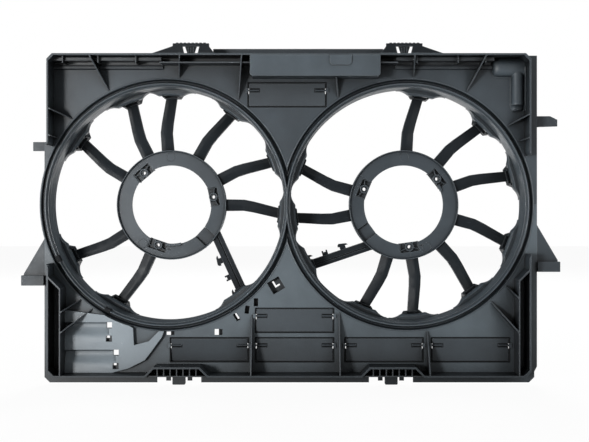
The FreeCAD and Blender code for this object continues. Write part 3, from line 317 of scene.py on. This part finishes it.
@dataclass(frozen=True)
class Backdrop:
    """White paper: it looks white, takes a faint shadow and bounces pale light.

    Attributes:
        name: Name of the material.
        shade: Grey of the paper for the light that bounces off it.
        glow: Share of the paper's look that is plain white.
    """

    name: str = "paper"
    shade: float = 0.85
    glow: float = 0.95

    def material(self) -> bpy.types.Material:
        """Makes the node material.

        Returns:
            A diffuse grey that camera rays and rays through glass see as nearly white.
        """
        made = bpy.data.materials.new(self.name)
        made.use_nodes = True
        tree = made.node_tree
        nodes, links = tree.nodes, tree.links
        nodes.remove(nodes["Principled BSDF"])
        paper = nodes.new("ShaderNodeBsdfDiffuse")
        paper.inputs["Color"].default_value = (self.shade,) * 3 + (1.0,)
        white = nodes.new("ShaderNodeEmission")
        white.inputs["Strength"].default_value = 1.0
        share = nodes.new("ShaderNodeMath")
        share.operation = "MULTIPLY"
        share.inputs[1].default_value = self.glow
        links.new(seen_directly(tree), share.inputs[0])
        mix = nodes.new("ShaderNodeMixShader")
        links.new(share.outputs["Value"], mix.inputs["Fac"])
        links.new(paper.outputs["BSDF"], mix.inputs[1])
        links.new(white.outputs["Emission"], mix.inputs[2])
        links.new(mix.outputs["Shader"], nodes["Material Output"].inputs["Surface"])
        return made


# The moulding is one plastic. Its parts wear lighter and darker copies of its colour, each tuned to
# how bright that part looks under the lamps: painted light and shade.
SHROUD = MouldedPlastic("shroud_plastic", (0.046, 0.058, 0.068), 0.44, gloss=0.3)
RINGS = MouldedPlastic("ring_plastic", (0.046, 0.058, 0.068), 0.34, clouding=0.16, gloss=0.45)
# Painted light: the tray is painted much paler than the panel round it.
TRAY = MouldedPlastic("tray_plastic", (0.15, 0.178, 0.198), 0.42, clouding=0.14, painted_shade=0.3)
# Painted shade: the arms are painted near black.
ARMS = MouldedPlastic("arm_plastic", (0.009, 0.012, 0.015), 0.44, clouding=0.18, gloss=0.12)
RIBS = MouldedPlastic("rib_plastic", (0.024, 0.030, 0.036), 0.46, Texture.SPARKED)
FLAPS = MouldedPlastic("flap_rubber", (0.032, 0.040, 0.047), 0.5, Texture.SPARKED, 0.2, gloss=0.3)
# Painted shade on the upper panel, painted light on the lower panel.
UPPER = MouldedPlastic("upper_plastic", (0.034, 0.043, 0.051), 0.45, gloss=0.28)
LOWER = MouldedPlastic("lower_plastic", (0.062, 0.077, 0.088), 0.44, gloss=0.3)
# Painted shade: the walls are painted darker, with deeper painted shade between them.
WALLS = MouldedPlastic("rim_plastic", (0.030, 0.038, 0.045), 0.46, painted_shade=0.05, gloss=0.28)
HUBS = MouldedPlastic("motor_ring_plastic", (0.034, 0.043, 0.051), 0.4, clouding=0.2, gloss=0.3)
OUTER = MouldedPlastic("foot_plastic", (0.028, 0.035, 0.041), 0.46, gloss=0.25)
# Near black, a painted shadow: the lips round the flap windows stand for the shadow of the gap, the
# slot hoods and notch liners for the shade deep in them. The pin cups wear the same near black.
SHADOW_BLACK = MouldedPlastic("seal_rubber", (0.004, 0.005, 0.006), 0.6, painted_highlight=0.1, gloss=0.12)
CLIPS = MouldedPlastic("clip_plastic", (0.008, 0.010, 0.012), 0.42, Texture.POLISHED, 0.1, gloss=0.12)


def worn(finish: MouldedPlastic) -> bpy.types.Material:
    """Gives a finish's material, made once."""
    return bpy.data.materials.get(finish.name) or finish.material()


WELD_WITHIN = 0.00001  # metres
CRISP_ABOVE = math.radians(28.0)


def keep_corners(part: bpy.types.Object) -> None:
    """Shades a part's round walls smooth and keeps its corners crisp.

    Args:
        part: Part whose mesh stays as it is.
    """
    part.data.polygons.foreach_set("use_smooth", np.ones(len(part.data.polygons), bool))
    weld = part.modifiers.new("weld", "WELD")
    weld.merge_threshold = WELD_WITHIN
    split = part.modifiers.new("corners", "EDGE_SPLIT")
    split.split_angle = CRISP_ABOVE


@dataclass
class Moulding:
    """The shroud's own moulded parts, each dressed in the finish of its kind, a lighter or darker
    copy of one colour that carries painted light and shade.

    Attributes:
        families: Finish by a word in a part's name. The first word found decides.
    """

    families: dict[str, MouldedPlastic] = field(
        default_factory=lambda: {
            "upper_panel": UPPER,
            "lower_panel": LOWER,
            "tray": TRAY,
            "flap": FLAPS,
            "latch": CLIPS,
            "tab": OUTER,
            "bracket": OUTER,
            "arm": ARMS,
            "wall": WALLS,
            "motor_ring": HUBS,
            "ring": RINGS,
            "rib": RIBS,
            "rail": RIBS,
        }
    )

    def finish_of(self, part: str) -> MouldedPlastic:
        """Gives the finish of a part from the words in its name."""
        found = [finish for word, finish in self.families.items() if word in part]
        return found[0] if found else SHROUD

    def dress(self) -> None:
        """Puts one finish on each moulded part and smooths its round walls."""
        for name, part in frame["nodes"].items():
            finish = self.finish_of(name)
            part.data.materials.clear()
            part.data.materials.append(worn(finish))
            keep_corners(part)
            LOG.info("%s wears %s", name, finish.name)


@dataclass
class Piece:
    """One piece gathered from closed surfaces.

    Attributes:
        name: Name of the piece.
        finish: Finish that it wears.
        shells: Grids of points, each with True where its path closes on itself.
        merge: Distance in metres within which points are made one.
    """

    name: str
    finish: MouldedPlastic
    shells: list[tuple[np.ndarray, bool]] = field(default_factory=list)
    merge: float = 0.000002

    def revolve(
        self, profile: np.ndarray, hub: Sequence[float], arc: Pair = (0.0, 360.0),
        steps: int = 288,
    ) -> None:
        """Carries a closed profile round an axis along Y.

        A point is hub + radius * (cos angle, 0, sin angle) + (0, depth, 0).

        Args:
            profile: Radius and depth of the profile's points.
            hub: A point on the axis.
            arc: First and last angle in degrees, from +X towards +Z.
            steps: Number of steps round a whole turn.
        """
        whole = arc[1] - arc[0] >= 360.0
        count = max(3, round(steps * (arc[1] - arc[0]) / 360.0))
        turn = np.radians(np.linspace(*arc, count + 1)[: count if whole else None])[:, None]
        radius, depth = profile[:, 0], profile[:, 1]
        grid = np.stack(
            [radius * np.cos(turn), depth + 0.0 * turn, radius * np.sin(turn)], axis=-1
        )
        self.shells.append((grid + np.array(hub), whole))

    def carry(
        self, profile: np.ndarray, path: np.ndarray, across: Sequence[float], scale: np.ndarray
    ) -> None:
        """Carries a closed profile along a path.

        A point is path + side * scale_side * across - height * scale_height * Y.

        Args:
            profile: Side and height of the profile's points.
            path: Points of the path, one row each.
            across: Direction in which the profile's side runs.
            scale: Side scale and height scale at each point of the path.
        """
        side = profile[None, :, 0, None] * scale[:, 0, None, None] * np.array(across)
        up = profile[None, :, 1, None] * scale[:, 1, None, None] * np.array((0.0, -1.0, 0.0))
        self.shells.append((path[:, None, :] + side + up, False))

    def build(
        self, west: float = -math.inf, east: float = math.inf, body: str = "shroud",
        slot: str = "shroud",
    ) -> bpy.types.Object:
        """Makes the mesh, cuts it to a strip of X and lets it ride on a body.

        Args:
            west: Lowest X that is kept.
            east: Highest X that is kept.
            body: Body that the piece rides on.
            slot: Not used.

        Returns:
            The finished piece.
        """
        points: list[list[float]] = []
        faces: list[list[int]] = []
        for grid, whole in self.shells:
            rows, columns = grid.shape[:2]
            row = np.arange(rows if whole else rows - 1)[:, None]
            column = np.arange(columns)[None, :]
            beside, after = (column + 1) % columns, (row + 1) % rows
            corners = [row * columns + column, row * columns + beside]
            corners += [after * columns + beside, after * columns + column]
            quads = np.stack(corners, axis=-1).reshape(-1, 4) + len(points)
            faces += quads.tolist()
            if not whole:
                ends = np.arange(columns) + len(points)
                faces += [ends.tolist(), (ends + (rows - 1) * columns).tolist()]
            points += grid.reshape(-1, 3).tolist()
        mesh = bpy.data.meshes.new(self.name)
        mesh.from_pydata(points, [], faces)
        shape = bmesh.new()
        shape.from_mesh(mesh)
        bmesh.ops.remove_doubles(shape, verts=shape.verts, dist=self.merge)
        for level, outward in ((west, -1.0), (east, 1.0)):
            if math.isfinite(level):
                self.trim(shape, level, outward)
        bmesh.ops.recalc_face_normals(shape, faces=shape.faces)
        shape.to_mesh(mesh)
        shape.free()
        piece = bpy.data.objects.new(self.name, mesh)
        bpy.context.scene.collection.objects.link(piece)
        mesh.materials.append(worn(self.finish))
        keep_corners(piece)
        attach(piece, body)
        LOG.info("%s made with %d faces", self.name, len(mesh.polygons))
        return piece

    def trim(self, shape: bmesh.types.BMesh, level: float, outward: float) -> None:
        """Cuts a shape with an upright plane across X and closes the cut with faces.

        Args:
            shape: Shape to be cut.
            level: X of the plane.
            outward: Sign of the side that goes.
        """
        every = [*shape.verts, *shape.edges, *shape.faces]
        cut = bmesh.ops.bisect_plane(
            shape, geom=every, plane_co=(level, 0.0, 0.0), plane_no=(outward, 0.0, 0.0),
            clear_outer=True,
        )
        rim = [part for part in cut["geom_cut"] if isinstance(part, bmesh.types.BMEdge)]
        bmesh.ops.triangle_fill(shape, use_beauty=True, edges=rim)


def millimetres(*pairs: Pair) -> np.ndarray:
    """Turns pairs of millimetres into an array in metres."""
    return np.array(pairs) / 1000.0


def fan_axis(side: str) -> tuple[np.ndarray, float]:
    """Finds one fan's axis from its ring, which is cut off at the plane between the fans.

    Args:
        side: Which fan, "left" or "right".

    Returns:
        Point on the axis at Y 0, and the radius of the ring's outer edge.
    """
    low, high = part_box(f"{side}_fan_ring")
    outer = (high.z - low.z) / 2
    east = low.x + outer if side == "left" else high.x - outer
    return np.array([east, 0.0, (low.z + high.z) / 2]), outer


@dataclass
class FanRing:
    """One fan's ring: panel roll, groove, crest and barrel in one smooth turned section.

    Attributes:
        side: Which fan, "left" or "right".
        section: Radius past the ring's outer edge and depth past its front, in metres.
    """

    side: str
    section: np.ndarray = field(
        default_factory=lambda: millimetres(
            (1.4, 4.6), (0.7, 3.5), (-0.3, 3.2), (-1.2, 4.0), (-2.0, 6.4), (-3.0, 8.4),
            (-4.0, 8.8), (-4.9, 7.4), (-5.7, 4.2), (-6.6, 1.3), (-7.5, 0.2), (-8.3, 0.2),
            (-9.1, 1.4), (-9.7, 3.2), (-10.2, 4.6), (-10.7, 5.2), (-11.2, 4.7), (-11.7, 4.7),
            (-12.2, 5.8), (-12.7, 8.5), (-13.0, 12.5), (-13.0, 18.4), (-12.5, 19.1),
            (-13.0, 19.8), (-13.0, 28.4), (-12.6, 29.0), (-13.0, 29.6), (-13.0, 43.0),
            (-10.5, 43.0), (-10.5, 17.5), (-9.0, 14.0), (-7.0, 12.5), (-3.0, 12.5),
            (0.2, 10.4), (1.4, 6.4),
        )
    )

    def build(self) -> None:
        """Turns the ring, cuts it at the plane between the fans and replaces the plain one."""
        low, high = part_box(f"{self.side}_fan_ring")
        hub, outer = fan_axis(self.side)
        ring = Piece(f"{self.side}_fan_ring_turned", RINGS)
        ring.revolve(self.section + np.array([outer, low.y]), hub)
        between = {"east": high.x} if self.side == "left" else {"west": low.x}
        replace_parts(ring.build(**between), f"{self.side}_fan_ring")


@dataclass
class MotorRing:
    """Details on one motor ring: standing rim, ledge, ejector marks and ribs at the bosses.

    Lengths are in millimetres, and angles in degrees from +X towards +Z. A profile's
    points are the distance from its axis and the depth past the ring's front.

    Attributes:
        side: Which fan, "left" or "right".
        boss_turn: Angle of the first boss.
        marks: Angles of the ejector marks.
        ledge: First and last angle of the ledge on the inner edge.
        face: Depth of the ring's flat face past the ring's front.
        rim_proud: How far the rim stands out of the face.
        boss_out: Distance from the ring's axis to a boss.
        boss_angles: Angles of the bosses past the first one's.
        mark_out: Distance from the ring's axis to an ejector mark.
        rib_start: Distance from a boss's middle to the start of its ribs.
        boss_ribs: Lean of each rib from the outward way, and where it ends.
        round_steps: Steps round a mark or a collar.
    """

    side: str
    boss_turn: float
    marks: tuple[float, ...]
    ledge: Pair
    face: float = 1.25
    rim_proud: float = 4.6
    boss_out: float = 66.0
    boss_angles: tuple[float, ...] = (0.0, 120.0, 240.0)
    mark_out: float = 74.5
    rib_start: float = 5.8
    boss_ribs: tuple[Pair, ...] = (
        (0.0, 16.0), (72.0, 14.5), (-72.0, 14.5), (132.0, 9.0), (-132.0, 9.0)
    )
    round_steps: int = 48

    def build(self) -> None:
        """Builds the ring's three pieces."""
        low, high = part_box(f"{self.side}_motor_ring")
        outer = 1000.0 * (high.z - low.z) / 2
        hub = np.array([(low.x + high.x) / 2, low.y, (low.z + high.z) / 2])
        face = self.face
        rim = Piece(f"{self.side}_motor_rim", HUBS)
        top = face - self.rim_proud
        rim.revolve(millimetres(
            (outer, face + 0.6), (outer, top + 0.5), (outer - 0.5, top), (outer - 1.0, top),
            (outer - 1.4, top + 0.5), (outer - 1.8, face - 0.8), (outer - 2.8, face + 0.2),
            (outer - 2.8, face + 0.6)), hub)
        rim.revolve(millimetres(
            (60.2, face + 0.4), (60.2, face - 2.6), (60.8, face - 3.0), (63.6, face - 3.0),
            (64.2, face - 2.6), (64.6, face + 0.4)), hub, self.ledge)
        rim.build()
        marks = Piece(f"{self.side}_ejector_marks", HUBS)
        for angle in self.marks:
            spot = hub + self.mark_out / 1000.0 * self.ray(angle)
            marks.revolve(millimetres(
                (6.2, face + 0.3), (6.3, face - 0.35), (6.7, face - 0.5), (7.1, face - 0.35),
                (7.2, face + 0.3)), spot, steps=self.round_steps)
        marks.build()
        ribs = Piece(f"{self.side}_boss_ribs", HUBS)
        for turn in self.boss_angles:
            self.brace(ribs, hub, self.boss_turn + turn)
        ribs.build()

    def ray(self, angle: float) -> np.ndarray:
        """Gives the direction at an angle in degrees from +X towards +Z."""
        return np.array([math.cos(math.radians(angle)), 0.0, math.sin(math.radians(angle))])

    def brace(self, ribs: Piece, hub: np.ndarray, angle: float) -> None:
        """Adds the collar of one boss and the thin ribs that spread from it.

        Args:
            ribs: Piece that takes them.
            hub: Point on the ring's axis at the ring's front.
            angle: Angle of the boss in degrees.
        """
        face = self.face
        boss = hub + self.boss_out / 1000.0 * self.ray(angle)
        ribs.revolve(millimetres(
            (4.6, face + 2.0), (4.8, face - 0.4), (5.3, face - 0.8), (6.3, face - 0.8),
            (6.8, face - 0.4), (7.0, face + 2.0)), boss, steps=self.round_steps)
        blade = millimetres((-0.6, -5.0), (-0.6, 0.0), (-0.2, 0.4), (0.2, 0.4), (0.6, 0.0),
                            (0.6, -5.0))
        for lean, reach in self.boss_ribs:
            way = self.ray(angle + lean)
            start, end = boss + self.rib_start / 1000.0 * way, boss + reach / 1000.0 * way
            path = np.stack([start, end]) + np.array([0.0, (face + 0.2) / 1000.0, 0.0])
            side = self.ray(angle + lean + 90.0)
            ribs.carry(blade, path, side, np.ones((2, 2)))


@dataclass
class FootWebs:
    """Flared webs that blend the feet of one fan's arms into the barrel.

    A web's inner edge stands proud * (1 - t) ** 2 off the barrel, where t runs from 0 at
    the foot's side to 1 at the web's end.

    Attributes:
        side: Which fan, "left" or "right".
        proud: How far a web stands off the barrel at the foot, in metres.
        flare: Length of the flare beyond each side of a foot, in degrees.
        reach: Distance from the ring's outer edge in to where feet are looked for.
        depths: First and last depth of a web past the barrel's back edge, in metres.
        wall: Distance from the ring's outer edge in to the barrel's bore.
        sunk: How far a web is sunk into the barrel's wall.
        thin: Least thickness of a web off the bore.
        blunt: Share of a web's stand by which its front corner is cut.
        slant: Share of proud by which its inner edge starts further back at the foot.
        steps: Points along a web.
    """

    side: str
    proud: float = 0.0075
    flare: float = 6.0
    reach: float = 0.014
    depths: Pair = (-0.007, 0.006)
    wall: float = 0.0130
    sunk: float = 0.0008
    thin: float = 0.0002
    blunt: float = 0.3
    slant: float = 0.5
    steps: int = 41

    def feet(self, hub: np.ndarray, outer: float) -> list[Pair]:
        """Finds where each arm's foot stands on the barrel.

        Args:
            hub: Point on the fan's axis.
            outer: Radius of the ring's outer edge.

        Returns:
            Middle angle and half width of each foot, in degrees.
        """
        found = []
        for name, part in frame["nodes"].items():
            if not name.startswith((f"{self.side}_arm", f"{self.side}_cable_arm")):
                continue
            points = np.empty(len(part.data.vertices) * 3)
            part.data.vertices.foreach_get("co", points)
            x, _, z = (points.reshape(-1, 3) - hub).T
            far = np.hypot(x, z) > outer - self.reach
            middle = np.arctan2(z[far].mean(), x[far].mean())
            spread = np.abs(np.angle(np.exp(1j * (np.arctan2(z[far], x[far]) - middle))))
            found.append((math.degrees(middle), math.degrees(spread.max())))
        return found

    def build(self) -> None:
        """Builds the webs of all arms as one piece."""
        _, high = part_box(f"{self.side}_fan_ring")
        hub, outer = fan_axis(self.side)
        barrel = outer - self.wall
        webs = Piece(f"{self.side}_foot_webs", RINGS)
        for middle, half in self.feet(hub, outer):
            turn = np.linspace(-half - self.flare, half + self.flare, self.steps)
            gone = np.clip((np.abs(turn) - half) / self.flare, 0.0, 1.0)
            stand = self.proud * (1.0 - gone) ** 2
            inner = barrel - np.maximum(stand, self.thin)
            outside = np.full_like(inner, barrel + self.sunk)
            corner = inner + self.blunt * stand
            radius = np.stack([outside, corner, inner, inner, outside], axis=1)
            front = np.full_like(inner, high.y + self.depths[0])
            back = np.full_like(inner, high.y + self.depths[1])
            slope = self.slant * self.proud * (1.0 - gone)
            depth = np.stack([front, front, front + slope, back, back], axis=1)
            angle = np.radians(middle + turn)[:, None]
            grid = np.stack([radius * np.cos(angle), depth, radius * np.sin(angle)], axis=-1)
            webs.shells.append((grid + hub, False))
        webs.build()


@dataclass
class CornerDuct:
    """Rounded duct in the top right corner: one bulge along the top and one down the side.

    Lengths are in metres. A run lists, along its bulge, the distance from the bulge's
    start, the share of its width and the share of its height.

    Attributes:
        proud: How far the bulges stand out of the panel.
        roundness: Exponent of the bulge's superellipse.
        top_half: Half of the top bulge's width.
        side_half: Half of the side bulge's width.
        margin: Gap between the side bulge and the duct's east edge.
        foot: Width of the thin foot along each side of a bulge.
        foot_depths: How far the foot is sunk into the panel, and how far it stands out.
        least: Least height of a bulge at its sides.
        edge: Distance from the duct's east edge to the middle of its upright blade.
        top_run: Run of the top bulge, from west to east.
        side_run: Run of the side bulge, downwards.
    """

    proud: float = 0.012
    roundness: float = 2.3
    top_half: float = 0.014
    side_half: float = 0.0100
    margin: float = 0.0008
    foot: float = 0.0012
    foot_depths: Pair = (0.0006, 0.0008)
    least: float = 0.0010
    edge: float = 0.0012
    top_run: np.ndarray = field(
        default_factory=lambda: np.array([
            (0.0, 0.62, 0.30), (0.0015, 0.80, 0.62), (0.004, 0.92, 0.82), (0.008, 0.98, 0.95),
            (0.013, 1.0, 1.0), (0.048, 1.0, 1.0),
        ])
    )
    side_run: np.ndarray = field(
        default_factory=lambda: np.array([
            (0.0, 1.0, 0.90), (0.052, 1.0, 0.90), (0.0545, 1.0, 0.96), (0.056, 0.99, 0.94),
            (0.0572, 0.97, 0.58), (0.0600, 0.92, 0.36), (0.0625, 0.85, 0.34),
            (0.0640, 0.74, 0.50), (0.0652, 0.55, 0.30),
        ])
    )

    def arch(self, half: float) -> np.ndarray:
        """Gives a closed bulge section with a thin foot along each side.

        Side runs from -half to half, and height is
        proud * (1 - |side / half| ** roundness) ** (1 / roundness).

        Args:
            half: Half of the bulge's width in metres.

        Returns:
            Side and height of the section's points.
        """
        turn = np.radians(np.linspace(180.0, 0.0, 25))
        power = 2.0 / self.roundness
        side = half * np.sign(np.cos(turn)) * np.abs(np.cos(turn)) ** power
        high = self.proud * np.abs(np.sin(turn)) ** power
        toe = half + self.foot
        sunk, stand = self.foot_depths
        bulge = np.stack([side, np.maximum(high, self.least)], axis=1)
        return np.concatenate([
            [[-toe, -sunk], [-toe, stand]], bulge, [[toe, stand], [toe, -sunk]]])

    def build(self) -> None:
        """Builds both bulges and the upright blade in place of the plain duct."""
        low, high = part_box("corner_duct")
        panel = high.y
        duct = Piece("corner_duct_moulded", SHROUD)
        middle = high.z - self.top_half
        along = self.top_run[:, 0]
        path = np.stack([low.x + along, panel + 0.0 * along, middle + 0.0 * along], axis=1)
        duct.carry(self.arch(self.top_half), path, (0.0, 0.0, 1.0), self.top_run[:, 1:])
        east = high.x - self.side_half - self.margin
        fall = self.side_run[:, 0]
        path = np.stack([east + 0.0 * fall, panel + 0.0 * fall, middle - fall], axis=1)
        duct.carry(self.arch(self.side_half), path, (1.0, 0.0, 0.0), self.side_run[:, 1:])
        blade = millimetres((-0.5, -0.5), (-0.5, 15.0), (0.5, 15.0), (0.5, -0.5))
        beside = high.x - self.edge
        path = np.array([[beside, panel, middle], [beside, panel, low.z]])
        lowering = np.array([[1.0, 1.0], [1.0, 0.75]])
        duct.carry(blade, path, (1.0, 0.0, 0.0), lowering)
        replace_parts(duct.build(), "corner_duct")


@dataclass
class FlapWindow:
    """One air flap's window: a near-black lip round it, a painted shadow of the gap round the flap,
    and the cups of the flap's pins.

    Attributes:
        flap: Name of the flap's body.
        hinge: Middle of the hinge line in metres.
        width: Width of the window.
        height: Height of the window.
        drop: Distance from the window's top down to the hinge.
        sunk: Distance from the panel's face back to the hinge.
        lip_out: Distance from the window's edge out to the middle of its lip.
        cup_reach: Distances from the window's side in to the two ends of a cup.
        cup_half: Half of the distance between a cup's two rims.
        cup_end: Half of the length of the rim that closes a cup.
    """

    flap: str
    hinge: Sequence[float]
    width: float = 0.116
    height: float = 0.035
    drop: float = 0.01085
    sunk: float = 0.0012
    lip_out: float = 0.0008
    cup_reach: Pair = (0.0012, 0.0168)
    cup_half: float = 0.0026
    cup_end: float = 0.0031

    def build(self) -> None:
        """Builds the lip on the shroud and the cups on the flap."""
        east, level, up = self.hinge
        lip = millimetres((-0.8, -0.3), (-0.8, 0.2), (-0.5, 0.4), (0.5, 0.4), (0.8, 0.2),
                          (0.8, -0.3))
        half, face = self.width / 2 + self.lip_out, level - self.sunk
        top = up + self.drop + self.lip_out
        low = top - self.height - 2 * self.lip_out
        # The lip's near black is a painted shadow of the gap round the flap.
        gap_shadow = Piece(f"{self.flap}_gap_shadow_lip", SHADOW_BLACK)
        for height in (top, low):
            self.bar(gap_shadow, lip, (east - half, face, height), (east + half, face, height))
        for side in (-half, half):
            self.bar(gap_shadow, lip, (east + side, face, low), (east + side, face, top))
        gap_shadow.build()
        cups = Piece(f"{self.flap}_pin_cups", SHADOW_BLACK)
        floor = millimetres((-2.6, -1.5), (-2.6, -0.9), (2.6, -0.9), (2.6, -1.5))
        rim = millimetres((-0.5, 0.6), (-0.5, 0.95), (-0.3, 1.05), (0.3, 1.05), (0.5, 0.95),
                          (0.5, 0.6))
        for side in (-1.0, 1.0):
            near, far = [east + side * (self.width / 2 - reach) for reach in self.cup_reach]
            self.bar(cups, floor, (near, level, up), (far, level, up))
            for rise in (-self.cup_half, self.cup_half):
                self.bar(cups, rim, (near, level, up + rise), (far, level, up + rise))
            self.bar(cups, rim, (far, level, up - self.cup_end), (far, level, up + self.cup_end))
        cups.build(body=self.flap, slot="flap")

    def bar(self, piece: Piece, profile: np.ndarray, start: Point, end: Point) -> None:
        """Carries a profile along one straight line in the window's plane.

        Args:
            piece: Piece that takes the bar.
            profile: Side and height of the bar's section.
            start: Where the bar starts.
            end: Where the bar ends.
        """
        path = np.array([start, end])
        way = path[1] - path[0]
        across = (-way[2], 0.0, way[0]) / np.linalg.norm(way)
        piece.carry(profile, path, across, np.ones((2, 2)))


@dataclass
class LowerLeftDetails:
    """Near-black blocks behind the two square clip slots and near-black liners in the two notches in
    the left ring's crest, both painted shade.

    Attributes:
        notches: Angles of the notches in degrees.
        notch_half: Half of a notch's angle in degrees.
        notch_steps: Steps round a whole turn of which a notch takes its share.
        shade_blocks: Start of each near-black block east of the fan's middle, in metres; its near
            black is painted shade.
        shade_block_length: Length of a block in metres.
        shade_block_drop: Distance from the ring's lowest point down to the blocks, in metres.
    """

    notches: tuple[float, ...] = (206.6, 240.9)
    notch_half: float = 1.5
    notch_steps: int = 720
    shade_blocks: tuple[float, ...] = (0.0062, 0.0782)
    shade_block_length: float = 0.0062
    shade_block_drop: float = 0.002

    def build(self) -> None:
        """Builds the near-black blocks and the near-black notch liners, both painted shade."""
        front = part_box("left_fan_ring")[0].y
        hub, outer = fan_axis("left")
        # Near-black blocks: painted shade in the back half of each clip slot.
        shade_blocks = Piece("clip_slot_hoods", SHADOW_BLACK)
        block = millimetres((-5.0, -14.0), (-5.0, -6.6), (5.0, -6.6), (5.0, -14.0))
        row = hub[2] - outer - self.shade_block_drop
        for start in self.shade_blocks:
            west = hub[0] + start
            path = np.array([[west, front, row], [west + self.shade_block_length, front, row]])
            shade_blocks.carry(block, path, (0.0, 0.0, 1.0), np.ones((2, 2)))
        shade_blocks.build()
        # Near-black liners: painted shade in the ring's two notches.
        notch_shade = Piece("ring_notch_liners", SHADOW_BLACK)
        edge = millimetres((-12.0, 6.0), (-12.0, 0.6), (-10.5, -0.3), (-5.5, -0.3), (-4.0, 0.8),
                           (-3.6, 6.0)) + np.array([outer, front])
        for angle in self.notches:
            arc = (angle - self.notch_half, angle + self.notch_half)
            notch_shade.revolve(edge, hub, arc, steps=self.notch_steps)
        notch_shade.build()


@dataclass
class Studio:
    """Studio: a paper floor, a pale world, area lamps on all sides and the camera.

    Attributes:
        eye: Camera's place in metres.
        lens: Focal length in millimetres.
        sensor: Width of the camera's sensor in millimetres.
        shift: Shift of the view as shares of its width.
        floor_gap: Distance from the shroud's lowest point down to the floor, in metres.
        floor_half: Half of the floor's side in metres.
        air: Colour of the world's light.
        air_light: Strength of the world's light.
    """

    eye: Point = (0.02065, -1.4, 0.0035)
    lens: float = 58.49
    sensor: float = 36.0
    shift: Pair = (-0.01443, -0.01358)
    floor_gap: float = 0.0005
    floor_half: float = 6.0
    air: Colour = (0.93, 0.96, 1.0)
    air_light: float = 0.1

    def build(self) -> None:
        """Makes the world, the floor, the lamps and the camera."""
        self.world()
        self.floor()
        self.lamp("front", (-1.5, -2.3, 0.02), (-0.1, 0.0, -0.1), 0.45, 84.0)
        self.lamp("upper", (0.8, -2.3, 1.7), (0.0, 0.0, 0.0), 0.9, 11.0)
        self.lamp("right", (1.8, -2.1, 0.4), (0.1, 0.0, 0.0), 0.7, 17.0)
        self.lamp("back", (0.3, 2.2, 1.5), (0.0, 0.1, 0.0), 1.2, 62.0, gloss=False)
        self.lamp("back_side", (-2.2, 1.9, 0.5), (0.0, 0.1, 0.0), 0.7, 26.0, gloss=False)
        self.lamp("side_west", (-2.5, 0.7, 0.9), (-0.3, 0.05, 0.0), 0.9, 15.0)
        self.lamp("side_east", (2.5, 0.7, 0.9), (0.3, 0.05, 0.0), 0.9, 15.0)
        self.camera()

    def world(self) -> None:
        """Lights the shroud with a weak pale light that cameras see as white."""
        sky = bpy.data.worlds.new("studio")
        bpy.context.scene.world = sky
        sky.use_nodes = True
        nodes, links = sky.node_tree.nodes, sky.node_tree.links
        around = nodes["Background"]
        around.inputs["Color"].default_value = (*self.air, 1.0)
        around.inputs["Strength"].default_value = self.air_light
        white = nodes.new("ShaderNodeBackground")
        white.inputs["Color"].default_value = (1.0, 1.0, 1.0, 1.0)
        white.inputs["Strength"].default_value = 1.0
        mix = nodes.new("ShaderNodeMixShader")
        links.new(seen_directly(sky.node_tree), mix.inputs["Fac"])
        links.new(around.outputs["Background"], mix.inputs[1])
        links.new(white.outputs["Background"], mix.inputs[2])
        links.new(mix.outputs["Shader"], nodes["World Output"].inputs["Surface"])

    def floor(self) -> None:
        """Lays the paper floor under the shroud, a flat square."""
        low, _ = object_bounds()
        level, reach = low.z - self.floor_gap, self.floor_half
        sheet = bpy.data.meshes.new("floor")
        corners = [(-reach, -reach, level), (reach, -reach, level), (reach, reach, level)]
        sheet.from_pydata([*corners, (-reach, reach, level)], [], [(0, 1, 2, 3)])
        thing = bpy.data.objects.new("floor", sheet)
        bpy.context.scene.collection.objects.link(thing)
        sheet.materials.append(Backdrop().material())
        thing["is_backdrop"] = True

    def lamp(
        self, name: str, place: Point, target: Point, size: float, power: float,
        gloss: bool = True,
    ) -> None:
        """Hangs one square area lamp.

        Args:
            name: Name of the lamp.
            place: Where it hangs, in metres.
            target: What it points at, in metres.
            size: Side of the lamp in metres.
            power: Power in watts.
            gloss: Whether the lamp shows as a highlight.
        """
        light = bpy.data.lights.new(name, "AREA")
        light.size, light.energy = size, power
        hung = bpy.data.objects.new(name, light)
        hung.location = place
        hung.visible_glossy = gloss
        aim = Vector(target) - Vector(place)
        hung.rotation_euler = aim.to_track_quat("-Z", "Y").to_euler()
        bpy.context.scene.collection.objects.link(hung)

    def camera(self) -> None:
        """Stands the camera in front of the shroud, level, looking along +Y."""
        lens = bpy.data.cameras.new("camera")
        lens.lens, lens.sensor_width = self.lens, self.sensor
        lens.shift_x, lens.shift_y = self.shift
        stand = bpy.data.objects.new("camera", lens)
        stand.location = self.eye
        stand.rotation_euler = (math.pi / 2, 0.0, 0.0)
        bpy.context.scene.collection.objects.link(stand)
        bpy.context.scene.camera = stand


def main() -> None:
    """Dresses the moulded parts, adds the details and sets up the studio."""
    logging.basicConfig(level=logging.INFO, format="%(name)s: %(message)s")
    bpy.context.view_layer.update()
    scene = bpy.context.scene
    scene.view_settings.view_transform = "Standard"
    Moulding().dress()
    for side in ("left", "right"):
        FanRing(side).build()
        FootWebs(side).build()
    MotorRing("left", boss_turn=11.0, marks=(91.0, 233.0), ledge=(262.0, 284.0)).build()
    MotorRing("right", boss_turn=38.0, marks=(89.0, -61.0), ledge=(20.0, 30.0)).build()
    CornerDuct().build()
    LowerLeftDetails().build()
    for joint in frame["joints"]:
        if "flap" in joint["child"]:
            FlapWindow(joint["child"], joint["pos_m"]).build()
    Studio().build()


if __name__ == "__main__":
    main()
